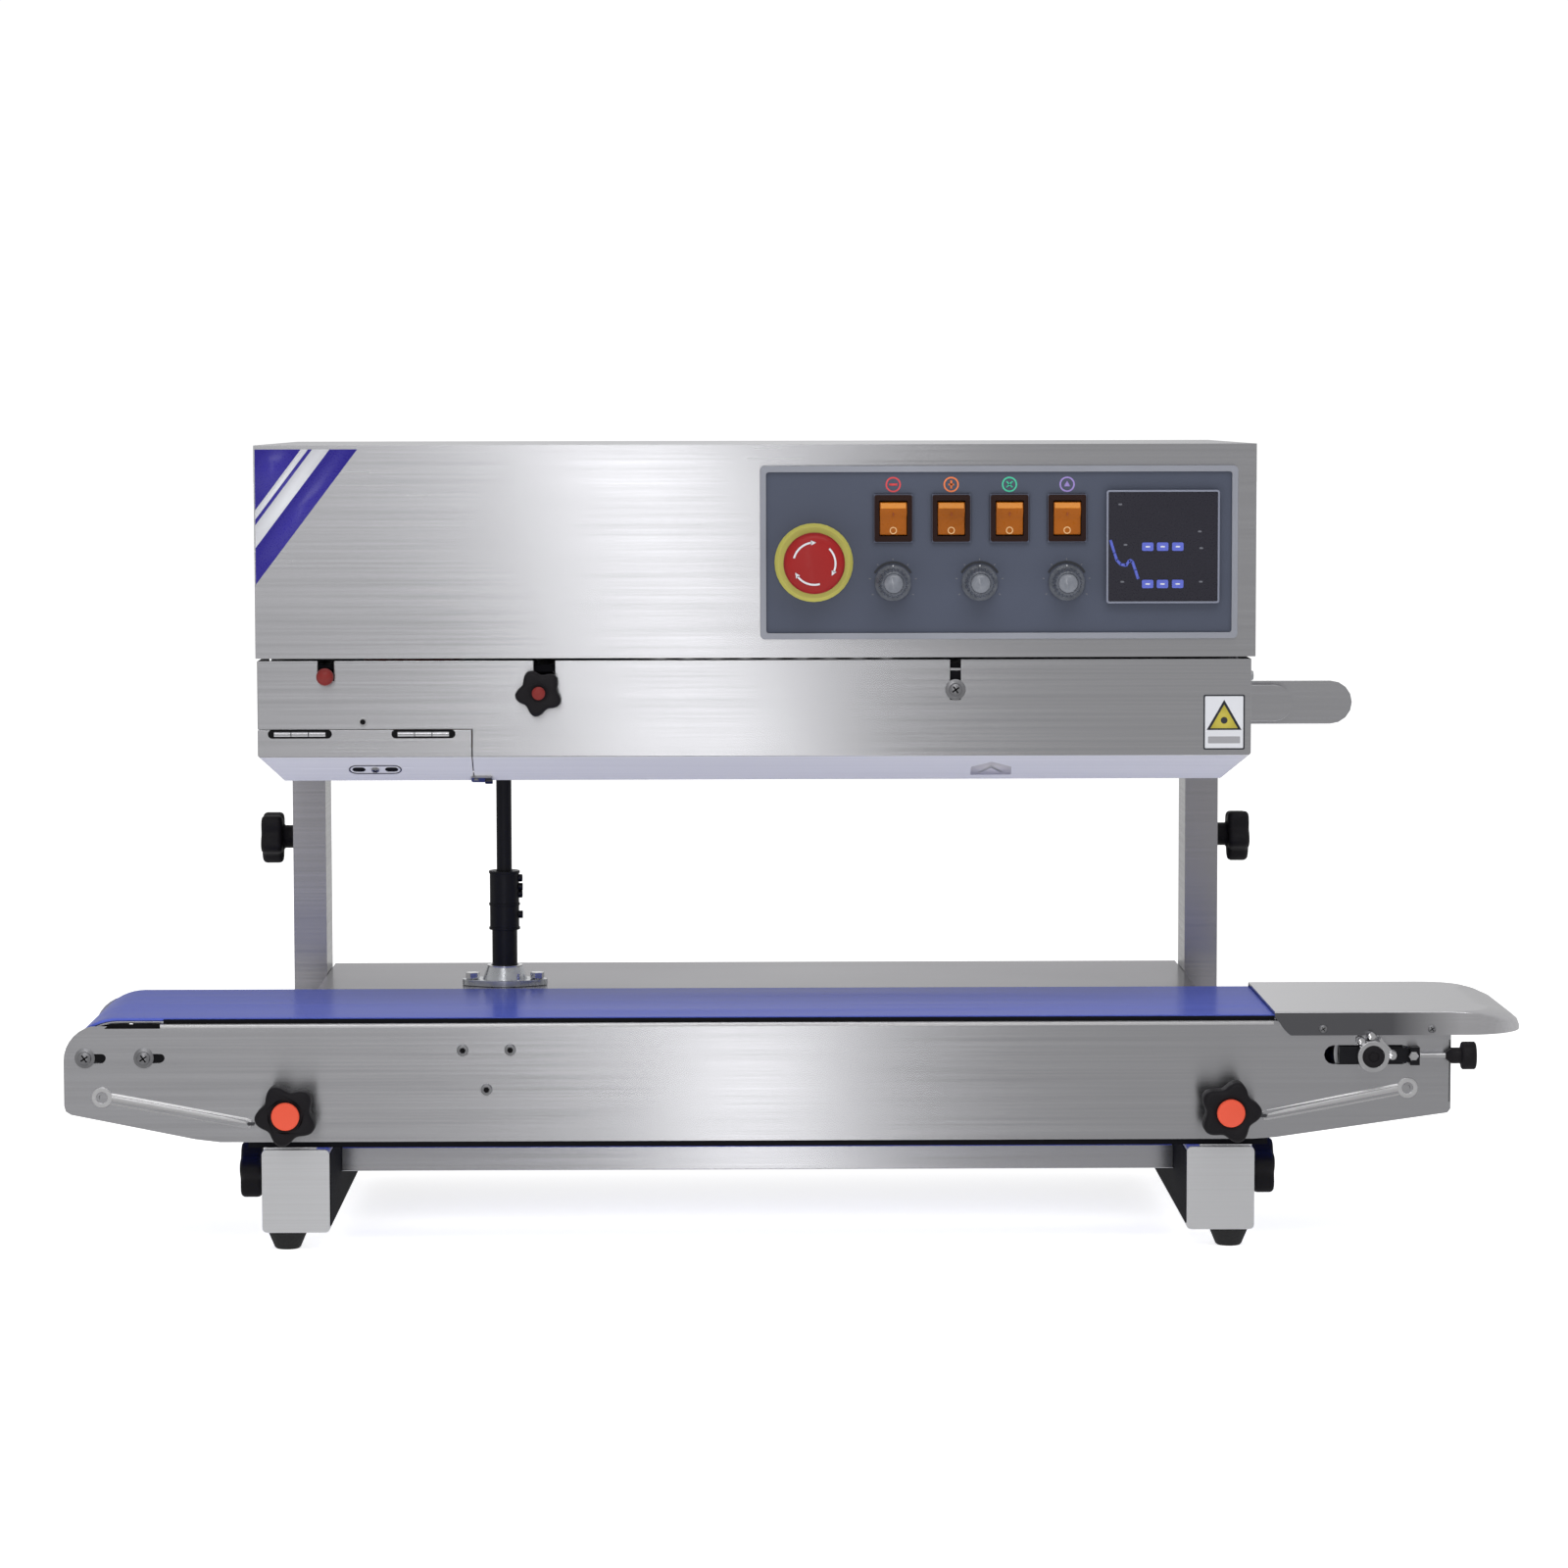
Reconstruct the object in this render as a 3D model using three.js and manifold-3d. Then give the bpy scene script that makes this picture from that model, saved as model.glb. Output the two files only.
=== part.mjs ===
// Continuous band sealer: a belt conveyor on a low base, and a sealing head on two telescopic posts.
// Millimetres. X runs along the conveyor (the tray is at +X), Y towards the back, Z up from the floor.
// The group is shifted at the end, so that its origin is the middle of its bounding box's floor.
import * as THREE from "three";
import { mergeVertices } from "three/addons/utils/BufferGeometryUtils.js";
import Module from "manifold-3d";

const wasm = await Module();
wasm.setup();

const GAP = 0.3;
const SHEET = 1.5;
const SIDES = [
  ["left", -1],
  ["right", 1],
];

// Base: two legs, the rear box between the posts, and the posts themselves.
const LEG_INNER = 277.4;
const LEG_OUTER = 321.2;
const LEG_FRONT = -3;
const LEG_BACK = 300;
const LEG_BOTTOM = 12;
const LEG_TOP = 66;
const FOOT_X = 306;
const POST_INNER = 298.8;
const POST_OUTER = 321.5;
const POST_FRONT = 242;
const POST_BACK = 290;
const POST_TOP = 302;
const BOX_FRONT = 157;
const BOX_BACK = 309;
const BOX_TOP = 150.6;

// Conveyor: side plates, slider bed, rollers and the belt around them.
const CONVEYOR_HALF = 448.5;
const CONVEYOR_BACK = 155;
const PLATE_BOTTOM = 70.8;
const PLATE_TOP = 147.7;
const BED_TOP = 149.5;
const BELT_FRONT = 2.6;
const BELT_BACK = 152.4;
const BELT_THICK = 1.6;
const NOSE_ROLLER = { x: -435.5, z: 125.5, r: 11 };
const RETURN_ROLLER = { x: -397, z: 125.5, r: 11 };
const DRIVE_ROLLER = { x: -172, z: 122, r: 22 };
const TAIL_ROLLER = { x: 397, z: 125.4, r: 24.1 };
const BED_NOSE = { x: -414, z: 116.5, r: 33 };

// Vertical drive: a rod from the head slides in a tube that turns in the rear box.
const SHAFT_X = DRIVE_ROLLER.x;
const SHAFT_Y = 180;
const ROD_RADIUS = 5.2;

// Head: housing above the mechanism plate, removable cover in front of it, rear cover behind.
const HEAD_LEFT = -321;
const HEAD_RIGHT = 319.2;
const HEAD_FRONT = -10;
const HEAD_BACK = 300;
const HEAD_TOP = 520.3;
const HOUSING_BOTTOM = 384.2;
const COVER_LEFT = -320.3;
const COVER_RIGHT = 316.8;
const COVER_FRONT = -8;
const COVER_TOP = 382.8;
const COVER_BACK = 62;
const SKIRT_TOP = 320.8;
const HEAD_BOTTOM = 304;
const SKIRT_FOOT = 15;
const REAR_COVER_FRONT = 92;
const DECK_BOTTOM = 376;
const DECK_TOP = 379;
const FLAP_TOP = 338.3;
const FLAP_RIGHT = -183.3;
const PANEL = { left: 1.9, right: 306.9, bottom: 396.2, top: 506.4, front: -12.8, back: -10.3 };
const ROCKERS = [86.8, 123.8, 161, 197.8];
const ROCKER_Z = 473.1;
const DIALS = [86.6, 142, 197.6];
const DIAL_Z = 432;
const ESTOP = { x: 36.1, z: 445 };
const CONTROLLER = { x: 258.9, z: 454.8, half: 36 };

// Sealing bands: two loops that meet on the line the bag mouth follows, over the middle of the belt.
const SEAL_Y = 77;
const BAND_GAP = 0.4;
const BAND_THICK = 0.6;
const WHEEL_RADIUS = 30;
const WHEEL_X = 225;
const WHEEL_OFFSET = BAND_GAP + BAND_THICK + GAP + WHEEL_RADIUS;
const BAND_BOTTOM = 325;
const BAND_TOP = 340;

const root = new THREE.Group();
root.name = "continuous_band_sealer";

const FINISHES = {
  stainless: { color: 0xb9b9c0, roughness: 0.35, metalness: 1 },
  zinc: { color: 0xc4c8cc, roughness: 0.3, metalness: 1 },
  blackSteel: { color: 0x1c1d20, roughness: 0.5, metalness: 0.6 },
  blackPlastic: { color: 0x17181a, roughness: 0.55, metalness: 0 },
  rubber: { color: 0x121214, roughness: 0.85, metalness: 0 },
  belt: { color: 0x4a4fa8, roughness: 0.35, metalness: 0 },
  panel: { color: 0x585a64, roughness: 0.5, metalness: 0 },
  bezel: { color: 0xb7b9bf, roughness: 0.45, metalness: 0 },
  yellow: { color: 0xd9c32a, roughness: 0.4, metalness: 0 },
  red: { color: 0xc8222a, roughness: 0.3, metalness: 0 },
  amber: { color: 0xe07a10, roughness: 0.25, metalness: 0 },
  clearGrey: { color: 0x8d9098, roughness: 0.2, metalness: 0 },
  fluoropolymer: { color: 0x8a5a33, roughness: 0.6, metalness: 0 },
  brass: { color: 0xb89552, roughness: 0.35, metalness: 1 },
  aluminium: { color: 0xa9adb3, roughness: 0.4, metalness: 1 },
  silicone: { color: 0x9c3b2f, roughness: 0.8, metalness: 0 },
};

function solid(geometry) {
  const bare = geometry.clone();
  bare.deleteAttribute("normal");
  bare.deleteAttribute("uv");
  const welded = mergeVertices(bare, 1e-4);
  const corners = [];
  for (let i = 0; i < welded.index.count; i += 3) {
    const [a, b, c] = [welded.index.getX(i), welded.index.getX(i + 1), welded.index.getX(i + 2)];
    if (a !== b && b !== c && c !== a) corners.push(a, b, c);
  }
  const build = (order) =>
    new wasm.Manifold(
      new wasm.Mesh({
        numProp: 3,
        vertProperties: Float32Array.from(welded.attributes.position.array),
        triVerts: Uint32Array.from(order),
      }),
    );
  const first = build(corners);
  return first.volume() < 0 ? build(corners.reverse()) : first;
}

function addNode(name, shape, finish) {
  const data = shape.getMesh();
  const positions = new Float32Array(data.numVert * 3);
  for (let i = 0; i < data.numVert; i += 1) {
    const start = i * data.numProp;
    positions.set(data.vertProperties.subarray(start, start + 3), i * 3);
  }
  const geometry = new THREE.BufferGeometry();
  geometry.setAttribute("position", new THREE.BufferAttribute(positions, 3));
  geometry.setIndex(new THREE.BufferAttribute(data.triVerts, 1));
  const material = new THREE.MeshStandardMaterial({ ...FINISHES[finish], flatShading: true });
  const mesh = new THREE.Mesh(geometry, material);
  mesh.name = name;
  root.add(mesh);
}

function join(...shapes) {
  return shapes.reduce((whole, shape) => whole.add(shape));
}

function cut(whole, ...tools) {
  return tools.reduce((rest, tool) => rest.subtract(tool), whole);
}

function block(x0, x1, y0, y1, z0, z1) {
  const box = new THREE.BoxGeometry(x1 - x0, y1 - y0, z1 - z0);
  return solid(box.translate((x0 + x1) / 2, (y0 + y1) / 2, (z0 + z1) / 2));
}

function outline(points, holes = []) {
  const shape = new THREE.Shape(points.map(([u, v]) => new THREE.Vector2(u, v)));
  shape.holes = holes.map((hole) => new THREE.Path(hole.map(([u, v]) => new THREE.Vector2(u, v))));
  return shape;
}

function extrude(points, depth, holes) {
  return new THREE.ExtrudeGeometry(outline(points, holes), { depth, bevelEnabled: false });
}

// Prisms: the outline is in the two axes that the prism doesn't run along, in alphabetical order.
function prismX(points, x0, x1, holes) {
  const shape = extrude(points, x1 - x0, holes);
  return solid(shape.rotateX(Math.PI / 2).rotateZ(Math.PI / 2).translate(x0, 0, 0));
}

function prismY(points, y0, y1, holes) {
  return solid(extrude(points, y1 - y0, holes).rotateX(Math.PI / 2).translate(0, y1, 0));
}

function prismZ(points, z0, z1, holes) {
  return solid(extrude(points, z1 - z0, holes).translate(0, 0, z0));
}

// A round bar or cone along an axis; `at` holds its two other coordinates, in alphabetical order.
function bar(axis, at, from, to, radiusFrom, radiusTo = radiusFrom, segments = 24) {
  const shape = new THREE.CylinderGeometry(radiusTo, radiusFrom, to - from, segments);
  const middle = (from + to) / 2;
  if (axis === "x") return solid(shape.rotateZ(-Math.PI / 2).translate(middle, at[0], at[1]));
  if (axis === "y") return solid(shape.translate(at[0], middle, at[1]));
  return solid(shape.rotateX(Math.PI / 2).translate(at[0], at[1], middle));
}

function arc(x, z, radius, fromDegrees, toDegrees, steps) {
  return Array.from({ length: steps + 1 }, (_, i) => {
    const angle = ((fromDegrees + ((toDegrees - fromDegrees) * i) / steps) * Math.PI) / 180;
    return [x + radius * Math.cos(angle), z + radius * Math.sin(angle)];
  });
}

function rectangle(u0, u1, v0, v1) {
  return [
    [u0, v0],
    [u1, v0],
    [u1, v1],
    [u0, v1],
  ];
}

function roundedRectangle(u0, u1, v0, v1, radius, steps = 3) {
  return [
    ...arc(u1 - radius, v0 + radius, radius, -90, 0, steps),
    ...arc(u1 - radius, v1 - radius, radius, 0, 90, steps),
    ...arc(u0 + radius, v1 - radius, radius, 90, 180, steps),
    ...arc(u0 + radius, v0 + radius, radius, 180, 270, steps),
  ];
}

// A slot outline with round ends between two points.
function stadium(u0, v0, u1, v1, radius, steps = 6) {
  const heading = (Math.atan2(v1 - v0, u1 - u0) * 180) / Math.PI;
  return [
    ...arc(u1, v1, radius, heading - 90, heading + 90, steps),
    ...arc(u0, v0, radius, heading + 90, heading + 270, steps),
  ];
}

// The outline a tight band takes around a set of points.
function tightOutline(points) {
  const sorted = [...points].sort((a, b) => a[0] - b[0] || a[1] - b[1]);
  const turn = (o, a, b) => (a[0] - o[0]) * (b[1] - o[1]) - (a[1] - o[1]) * (b[0] - o[0]);
  const half = (list) => {
    const chain = [];
    for (const point of list) {
      while (chain.length > 1 && turn(chain.at(-2), chain.at(-1), point) <= 1e-9) chain.pop();
      chain.push(point);
    }
    return chain.slice(0, -1);
  };
  return [...half(sorted), ...half(sorted.reverse())];
}

// Five-lobed clamping knob outline, centred on zero.
function knobOutline(radius, turnDegrees) {
  const count = 30;
  return Array.from({ length: count }, (_, i) => {
    const angle = (2 * Math.PI * i) / count;
    const reach = radius * (0.885 + 0.115 * Math.cos(5 * angle));
    const turned = angle + (turnDegrees * Math.PI) / 180;
    return [reach * Math.cos(turned), reach * Math.sin(turned)];
  });
}

function shifted(points, u, v) {
  return points.map(([a, b]) => [a + u, b + v]);
}

// ---------------------------------------------------------------- base

for (const [side, sign] of SIDES) {
  const span = (a, b) => (sign > 0 ? [a, b] : [-b, -a]);
  const [x0, x1] = span(LEG_INNER, LEG_OUTER);
  const [in0, in1] = span(LEG_INNER + 2, LEG_OUTER - 2);
  const [tab0, tab1] = span(286, 320);
  const [flank0, flank1] = span(LEG_OUTER - 4, LEG_OUTER + 4);
  const channel = cut(
    prismY(roundedRectangle(x0, x1, LEG_BOTTOM, LEG_TOP, 3), LEG_FRONT, LEG_BACK),
    block(in0, in1, LEG_FRONT + 2, LEG_BACK - 2, LEG_BOTTOM - 1, LEG_TOP - 2),
    bar("x", [85, 39], flank0, flank1, 4.6, 4.6, 16),
  );
  const frontTab = cut(
    block(tab0, tab1, 2.2, 5.2, LEG_TOP - 1, 97),
    bar("y", [303 * sign, 92], 0, 10, 4.6, 4.6, 16),
  );
  const rearTab = block(tab0, tab1, 149.8, 152.8, LEG_TOP - 1, 97);
  addNode(`leg_${side}`, join(channel, frontTab, rearTab), "stainless");
  for (const [end, y] of [
    ["front", 11],
    ["rear", 284],
  ]) {
    const foot = bar("z", [FOOT_X * sign, y], 0, LEG_BOTTOM - GAP, 8.5, 12.8, 24);
    addNode(`foot_${end}_${side}`, foot, "rubber");
  }
  const [p0, p1] = span(POST_INNER, POST_OUTER);
  const [wall0, wall1] = span(POST_OUTER - 4, POST_OUTER + 4);
  const tube = cut(
    block(p0, p1, POST_FRONT, POST_BACK, LEG_TOP + GAP, POST_TOP),
    block(p0 + SHEET, p1 - SHEET, POST_FRONT + SHEET, POST_BACK - SHEET, LEG_TOP, POST_TOP + 1),
    bar("x", [266, 245], wall0, wall1, 4.6, 4.6, 16),
  );
  addNode(`post_tube_${side}`, tube, "stainless");
}

addNode(
  "base_crossbar",
  prismX(rectangle(84, 124, 38, 54), -LEG_INNER + GAP, LEG_INNER - GAP, [rectangle(86, 122, 40, 52)]),
  "stainless",
);

const boxHalf = POST_INNER - GAP;
addNode(
  "rear_box",
  cut(
    block(-boxHalf, boxHalf, BOX_FRONT, BOX_BACK, LEG_TOP + GAP, BOX_TOP),
    block(-boxHalf + SHEET, boxHalf - SHEET, BOX_FRONT + SHEET, BOX_BACK - SHEET, LEG_TOP, BOX_TOP - SHEET),
    bar("z", [SHAFT_X, SHAFT_Y], BOX_TOP - 5, BOX_TOP + 1, 11),
    bar("y", [DRIVE_ROLLER.x, DRIVE_ROLLER.z], BOX_FRONT - 1, BOX_FRONT + 5, 7.5),
  ),
  "stainless",
);

const bearingBase = BOX_TOP + GAP;
const bearingEars = tightOutline([
  ...arc(SHAFT_X - 21, SHAFT_Y, 8, 0, 360, 16),
  ...arc(SHAFT_X + 21, SHAFT_Y, 8, 0, 360, 16),
  ...arc(SHAFT_X, SHAFT_Y, 17.5, 0, 360, 24),
]);
addNode(
  "shaft_bearing",
  cut(
    join(
      prismZ(bearingEars, bearingBase, bearingBase + 4),
      bar("z", [SHAFT_X, SHAFT_Y], bearingBase + 3, 163.8, 15.5, 12.5),
      bar("z", [SHAFT_X - 22, SHAFT_Y], bearingBase + 3, bearingBase + 7.5, 4.2, 4.2, 6),
      bar("z", [SHAFT_X + 22, SHAFT_Y], bearingBase + 3, bearingBase + 7.5, 4.2, 4.2, 6),
    ),
    bar("z", [SHAFT_X, SHAFT_Y], BOX_TOP, 170, 9.3),
  ),
  "zinc",
);

// ---------------------------------------------------------------- conveyor

const plateOutline = [
  ...arc(-425.5, 124, 23, 180, 102, 7),
  [-386.2, 146.5],
  [-386, PLATE_TOP],
  [438, PLATE_TOP],
  [446, 145],
  [CONVEYOR_HALF, 139],
  [CONVEYOR_HALF, 90],
  [446.5, 87.4],
  [335, 71.7],
  [320, PLATE_BOTTOM],
  [-348, PLATE_BOTTOM],
  [-364, 72.8],
  [-444, 89],
  [-447.5, 91.2],
  [-CONVEYOR_HALF, 95],
];
const rollerSlots = [
  stadium(-437, 125.5, -424.5, 125.5, 3),
  stadium(-399, 125.5, -387, 125.5, 3),
];
const tailSlot = stadium(372.5, 125.4, 416.8, 125.4, 6.25);
const knobHoles = [-303, 303].map((x) => arc(x, 92, 4.6, 0, 337.5, 15));
const frontPlate = join(
  prismY(plateOutline, 0, SHEET, [...rollerSlots, tailSlot, ...knobHoles]),
  block(-386, 366, 0.5, 9, PLATE_TOP - SHEET, PLATE_TOP),
  block(-270, 270, 0.5, 11, PLATE_BOTTOM, PLATE_BOTTOM + SHEET),
  block(CONVEYOR_HALF - SHEET, CONVEYOR_HALF, 0.5, 9, 92, 138),
  prismY(stadium(-423, 100.2, -331, 82.8, 2.6), -0.8, 0.5),
  prismY(stadium(419.5, 103.4, 329, 86.6, 2.6), -0.8, 0.5),
);
addNode("conveyor_front_plate", frontPlate, "stainless");

const driveShaftHole = arc(DRIVE_ROLLER.x, DRIVE_ROLLER.z, 7.5, 0, 337.5, 15);
const rearPlateFront = CONVEYOR_BACK - SHEET;
const rearPlate = join(
  prismY(plateOutline, rearPlateFront, CONVEYOR_BACK, [...rollerSlots, tailSlot, driveShaftHole]),
  block(-386, 366, CONVEYOR_BACK - 9, CONVEYOR_BACK - 0.5, PLATE_TOP - SHEET, PLATE_TOP),
  block(-270, 270, CONVEYOR_BACK - 11, CONVEYOR_BACK - 0.5, PLATE_BOTTOM, PLATE_BOTTOM + SHEET),
);
addNode("conveyor_rear_plate", rearPlate, "stainless");

addNode(
  "slider_bed",
  prismY(
    [
      [366, BED_TOP],
      ...arc(BED_NOSE.x, BED_NOSE.z, BED_NOSE.r, 90, 135, 6),
      ...arc(BED_NOSE.x, BED_NOSE.z, BED_NOSE.r - SHEET, 135, 90, 6),
      [366, BED_TOP - SHEET],
    ],
    3,
    152,
  ),
  "stainless",
);

function beltOutline(clearance) {
  const rollers = [NOSE_ROLLER, RETURN_ROLLER, DRIVE_ROLLER, TAIL_ROLLER];
  return tightOutline([
    ...rollers.flatMap(({ x, z, r }) => arc(x, z, r + clearance, 0, 352.5, 47)),
    ...arc(BED_NOSE.x, BED_NOSE.z, BED_NOSE.r + clearance, 90, 135, 7),
  ]);
}
addNode(
  "conveyor_belt",
  prismY(beltOutline(GAP + BELT_THICK), BELT_FRONT, BELT_BACK, [beltOutline(GAP)]),
  "belt",
);

for (const [name, roller] of [
  ["nose_roller", NOSE_ROLLER],
  ["return_roller", RETURN_ROLLER],
]) {
  addNode(name, bar("y", [roller.x, roller.z], 4, 151, roller.r), "aluminium");
}
const tailAt = [TAIL_ROLLER.x, TAIL_ROLLER.z];
addNode(
  "tail_roller",
  cut(
    bar("y", tailAt, 5, 150, TAIL_ROLLER.r, TAIL_ROLLER.r, 36),
    bar("y", tailAt, 4, 70, TAIL_ROLLER.r - 3),
    bar("y", tailAt, 85, 151, TAIL_ROLLER.r - 3),
  ),
  "aluminium",
);

// Bevel gear blank with teeth cut across its cone; the cone's point is at zero on +Z.
function bevelGear(teeth) {
  const blank = bar("z", [0, 0], -13, -7, 12.4, 6.6, 32);
  const notch = solid(new THREE.BoxGeometry(1.6, 9, 3).rotateX(Math.PI / 4).translate(0, 10.2, -9.2));
  const cuts = Array.from({ length: teeth }, (_, i) => notch.rotate([0, 0, (360 * i) / teeth]));
  return cut(join(blank, bar("z", [0, 0], -16, -12.5, 9)), ...cuts);
}
const rollerGear = bevelGear(12).rotate([-90, 0, 0]).translate([SHAFT_X, SHAFT_Y, DRIVE_ROLLER.z]);
const shaftGear = bevelGear(12).rotate([180, 0, 15]).translate([SHAFT_X, SHAFT_Y, DRIVE_ROLLER.z]);
const driveAt = [DRIVE_ROLLER.x, DRIVE_ROLLER.z];
addNode(
  "drive_roller",
  join(
    bar("y", driveAt, 4, 151, DRIVE_ROLLER.r, DRIVE_ROLLER.r, 36),
    bar("y", driveAt, 150, 166, 6),
    rollerGear,
  ),
  "rubber",
);

const coupler = join(
  bar("z", [SHAFT_X, SHAFT_Y], 190, 229, 10),
  bar("z", [SHAFT_X, SHAFT_Y], 137, 191, 8.6),
  bar("x", [SHAFT_Y, 218], SHAFT_X + 8, SHAFT_X + 12.5, 2.6, 2.6, 12),
  bar("x", [SHAFT_Y, 199], SHAFT_X + 8, SHAFT_X + 12.5, 2.6, 2.6, 12),
);
addNode(
  "lower_drive_shaft",
  cut(join(coupler, shaftGear), bar("z", [SHAFT_X, SHAFT_Y], 144, 240, ROD_RADIUS + 0.6)),
  "blackSteel",
);
const sprocketOutline = Array.from({ length: 36 }, (_, i) => {
  const angle = (Math.PI * i) / 18;
  const reach = i % 2 ? 17 : 19.5;
  return [SHAFT_X + reach * Math.cos(angle), SHAFT_Y + reach * Math.sin(angle)];
});
const sprocket = prismZ(sprocketOutline, 384, 387);
addNode(
  "upper_drive_shaft",
  join(bar("z", [SHAFT_X, SHAFT_Y], 146, 394, ROD_RADIUS), sprocket),
  "blackSteel",
);

// Infeed tray: a flat top whose edge turns down, tightly along the sides and in a long curve at the tip.
const TRAY = { left: 334, tip: 498, front: -2.1, back: 157.1, top: 153.8, drop: 15.5, corner: 38 };
const TRAY_SOFTENS = { from: 448, over: 72 };

function trayStations() {
  const middle = (TRAY.front + TRAY.back) / 2;
  const centreX = TRAY.tip - TRAY.corner;
  const fanX = centreX - 60;
  const softness = (distance) => {
    const t = Math.max(0, distance / TRAY_SOFTENS.over);
    return t * t * (3 - 2 * t);
  };
  const straight = [TRAY.left, 395, TRAY_SOFTENS.from, 454].map((x) => {
    const t = softness(x - TRAY_SOFTENS.from);
    return { edge: [x, TRAY.front], inward: [0, 1], middle: [Math.min(x, fanX), middle], t };
  });
  const corner = Array.from({ length: 11 }, (_, i) => {
    const turn = (Math.PI / 2) * (i / 10);
    const angle = turn - Math.PI / 2;
    const inward = [-Math.cos(angle), -Math.sin(angle)];
    const edge = [centreX - TRAY.corner * inward[0], TRAY.front + TRAY.corner - TRAY.corner * inward[1]];
    const t = softness(centreX - TRAY_SOFTENS.from + TRAY.corner * turn);
    return { edge, inward, middle: [fanX, middle], t };
  });
  const nearHalf = [...straight, ...corner];
  const mirror = ({ edge, inward, middle: mid, t }) => ({
    edge: [edge[0], 2 * middle - edge[1]],
    inward: [inward[0], -inward[1]],
    middle: mid,
    t,
  });
  return [...nearHalf, ...nearHalf.map(mirror).reverse()];
}

function trayProfile({ edge, inward, middle, t }) {
  const reach = 1.4 + 28.6 * t;
  const fall = 1.4 + 11.6 * t;
  const angles = [0, 18, 36, 54, 72, 90].map((degrees) => (degrees * Math.PI) / 180);
  const point = (inset, z) => [edge[0] + inward[0] * inset, edge[1] + inward[1] * inset, z];
  const skin = (thick) => [
    ...angles.map((a) =>
      point(
        reach * (1 - Math.sin(a)) + thick * Math.sin(a),
        TRAY.top - fall * (1 - Math.cos(a)) - thick * Math.cos(a),
      ),
    ),
    point(thick, TRAY.top - TRAY.drop),
  ];
  return [
    [...middle, TRAY.top],
    ...skin(0),
    ...skin(SHEET).reverse(),
    [...middle, TRAY.top - SHEET],
  ];
}

function trayShell() {
  const profiles = trayStations().map(trayProfile);
  const positions = [];
  const quad = (a, b, c, d) => positions.push(...a, ...b, ...c, ...a, ...c, ...d);
  for (let i = 0; i + 1 < profiles.length; i += 1) {
    for (let j = 0; j + 1 < profiles[i].length; j += 1) {
      quad(profiles[i][j], profiles[i + 1][j], profiles[i + 1][j + 1], profiles[i][j + 1]);
    }
  }
  for (const [profile, flip] of [
    [profiles[0], false],
    [profiles.at(-1), true],
  ]) {
    const last = profile.length - 1;
    for (let j = 0; j < last / 2 - 0.5; j += 1) {
      const corners = [profile[j], profile[j + 1], profile[last - j - 1], profile[last - j]];
      quad(...(flip ? corners.reverse() : corners));
    }
  }
  const geometry = new THREE.BufferGeometry();
  geometry.setAttribute("position", new THREE.Float32BufferAttribute(positions, 3));
  return solid(geometry);
}
const trayEnd = [
  [TRAY.left - 1, TRAY.top - 2.5],
  [TRAY.left - 1, TRAY.top - 17],
  [TRAY.left + 14, TRAY.top - 17],
  [TRAY.left + 9.5, TRAY.top - 15],
  [TRAY.left + 6, TRAY.top - 11.5],
  [TRAY.left + 3, TRAY.top - 7],
];
addNode("infeed_tray", cut(trayShell(), prismY(trayEnd, -5, 160)), "stainless");

// Belt tension: a block in the front plate's slot carries the tail roller's axle; a screw draws it along.
addNode(
  "tension_block",
  join(
    block(376, 417, -1.4, 3.8, 119.9, 130.9),
    block(405, 427, -3.4, -0.4, 121, 130),
    bar("y", tailAt, -3.6, -1, 9.2),
    bar("y", tailAt, -9.5, -3, 6.6),
    block(421, 427, -9, -0.4, 119.6, 131.2),
  ),
  "blackSteel",
);
const screwAt = [-5.2, 125.4];
addNode(
  "tension_knob",
  join(
    bar("x", screwAt, 427 + GAP, 451, 1.8, 1.8, 12),
    bar("x", screwAt, 449.8, 456.5, 6),
    bar("x", screwAt, 456, 465, 9),
  ),
  "blackPlastic",
);

// ---------------------------------------------------------------- clamping knobs

for (const [side, sign] of SIDES) {
  const facing = (shape) => (sign > 0 ? shape : shape.rotate([0, 0, 180]));
  const frontTurn = sign > 0 ? 69 : 28;
  const frontAt = [303 * sign, 92];
  addNode(
    `front_knob_${side}`,
    join(
      prismY(shifted(knobOutline(20.2, frontTurn), ...frontAt), -31, -13),
      bar("y", frontAt, -32.2, -30, 9.2),
      bar("y", frontAt, -14, -1.2, 8),
      bar("y", frontAt, -2, 12, 4, 4, 16),
    ),
    "blackPlastic",
  );
  const legKnob = join(
    prismX(knobOutline(19.4, 15), 328.8, 343),
    bar("x", [0, 0], LEG_OUTER + 0.8, 330, 8),
    bar("x", [0, 0], 302, LEG_OUTER + 2, 4, 4, 16),
  );
  addNode(`leg_knob_${side}`, facing(legKnob).translate([0, 85, 39]), "blackPlastic");
  const postKnob = join(
    prismX(knobOutline(18.6, 50), 330.4, 345),
    bar("x", [0, 0], POST_OUTER + 1, 331.5, 8),
    bar("x", [0, 0], 317.6, POST_OUTER + 2, 4, 4, 16),
  );
  addNode(`post_knob_${side}`, facing(postKnob).translate([0, 266, 245]), "blackPlastic");
}

// ---------------------------------------------------------------- head

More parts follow.
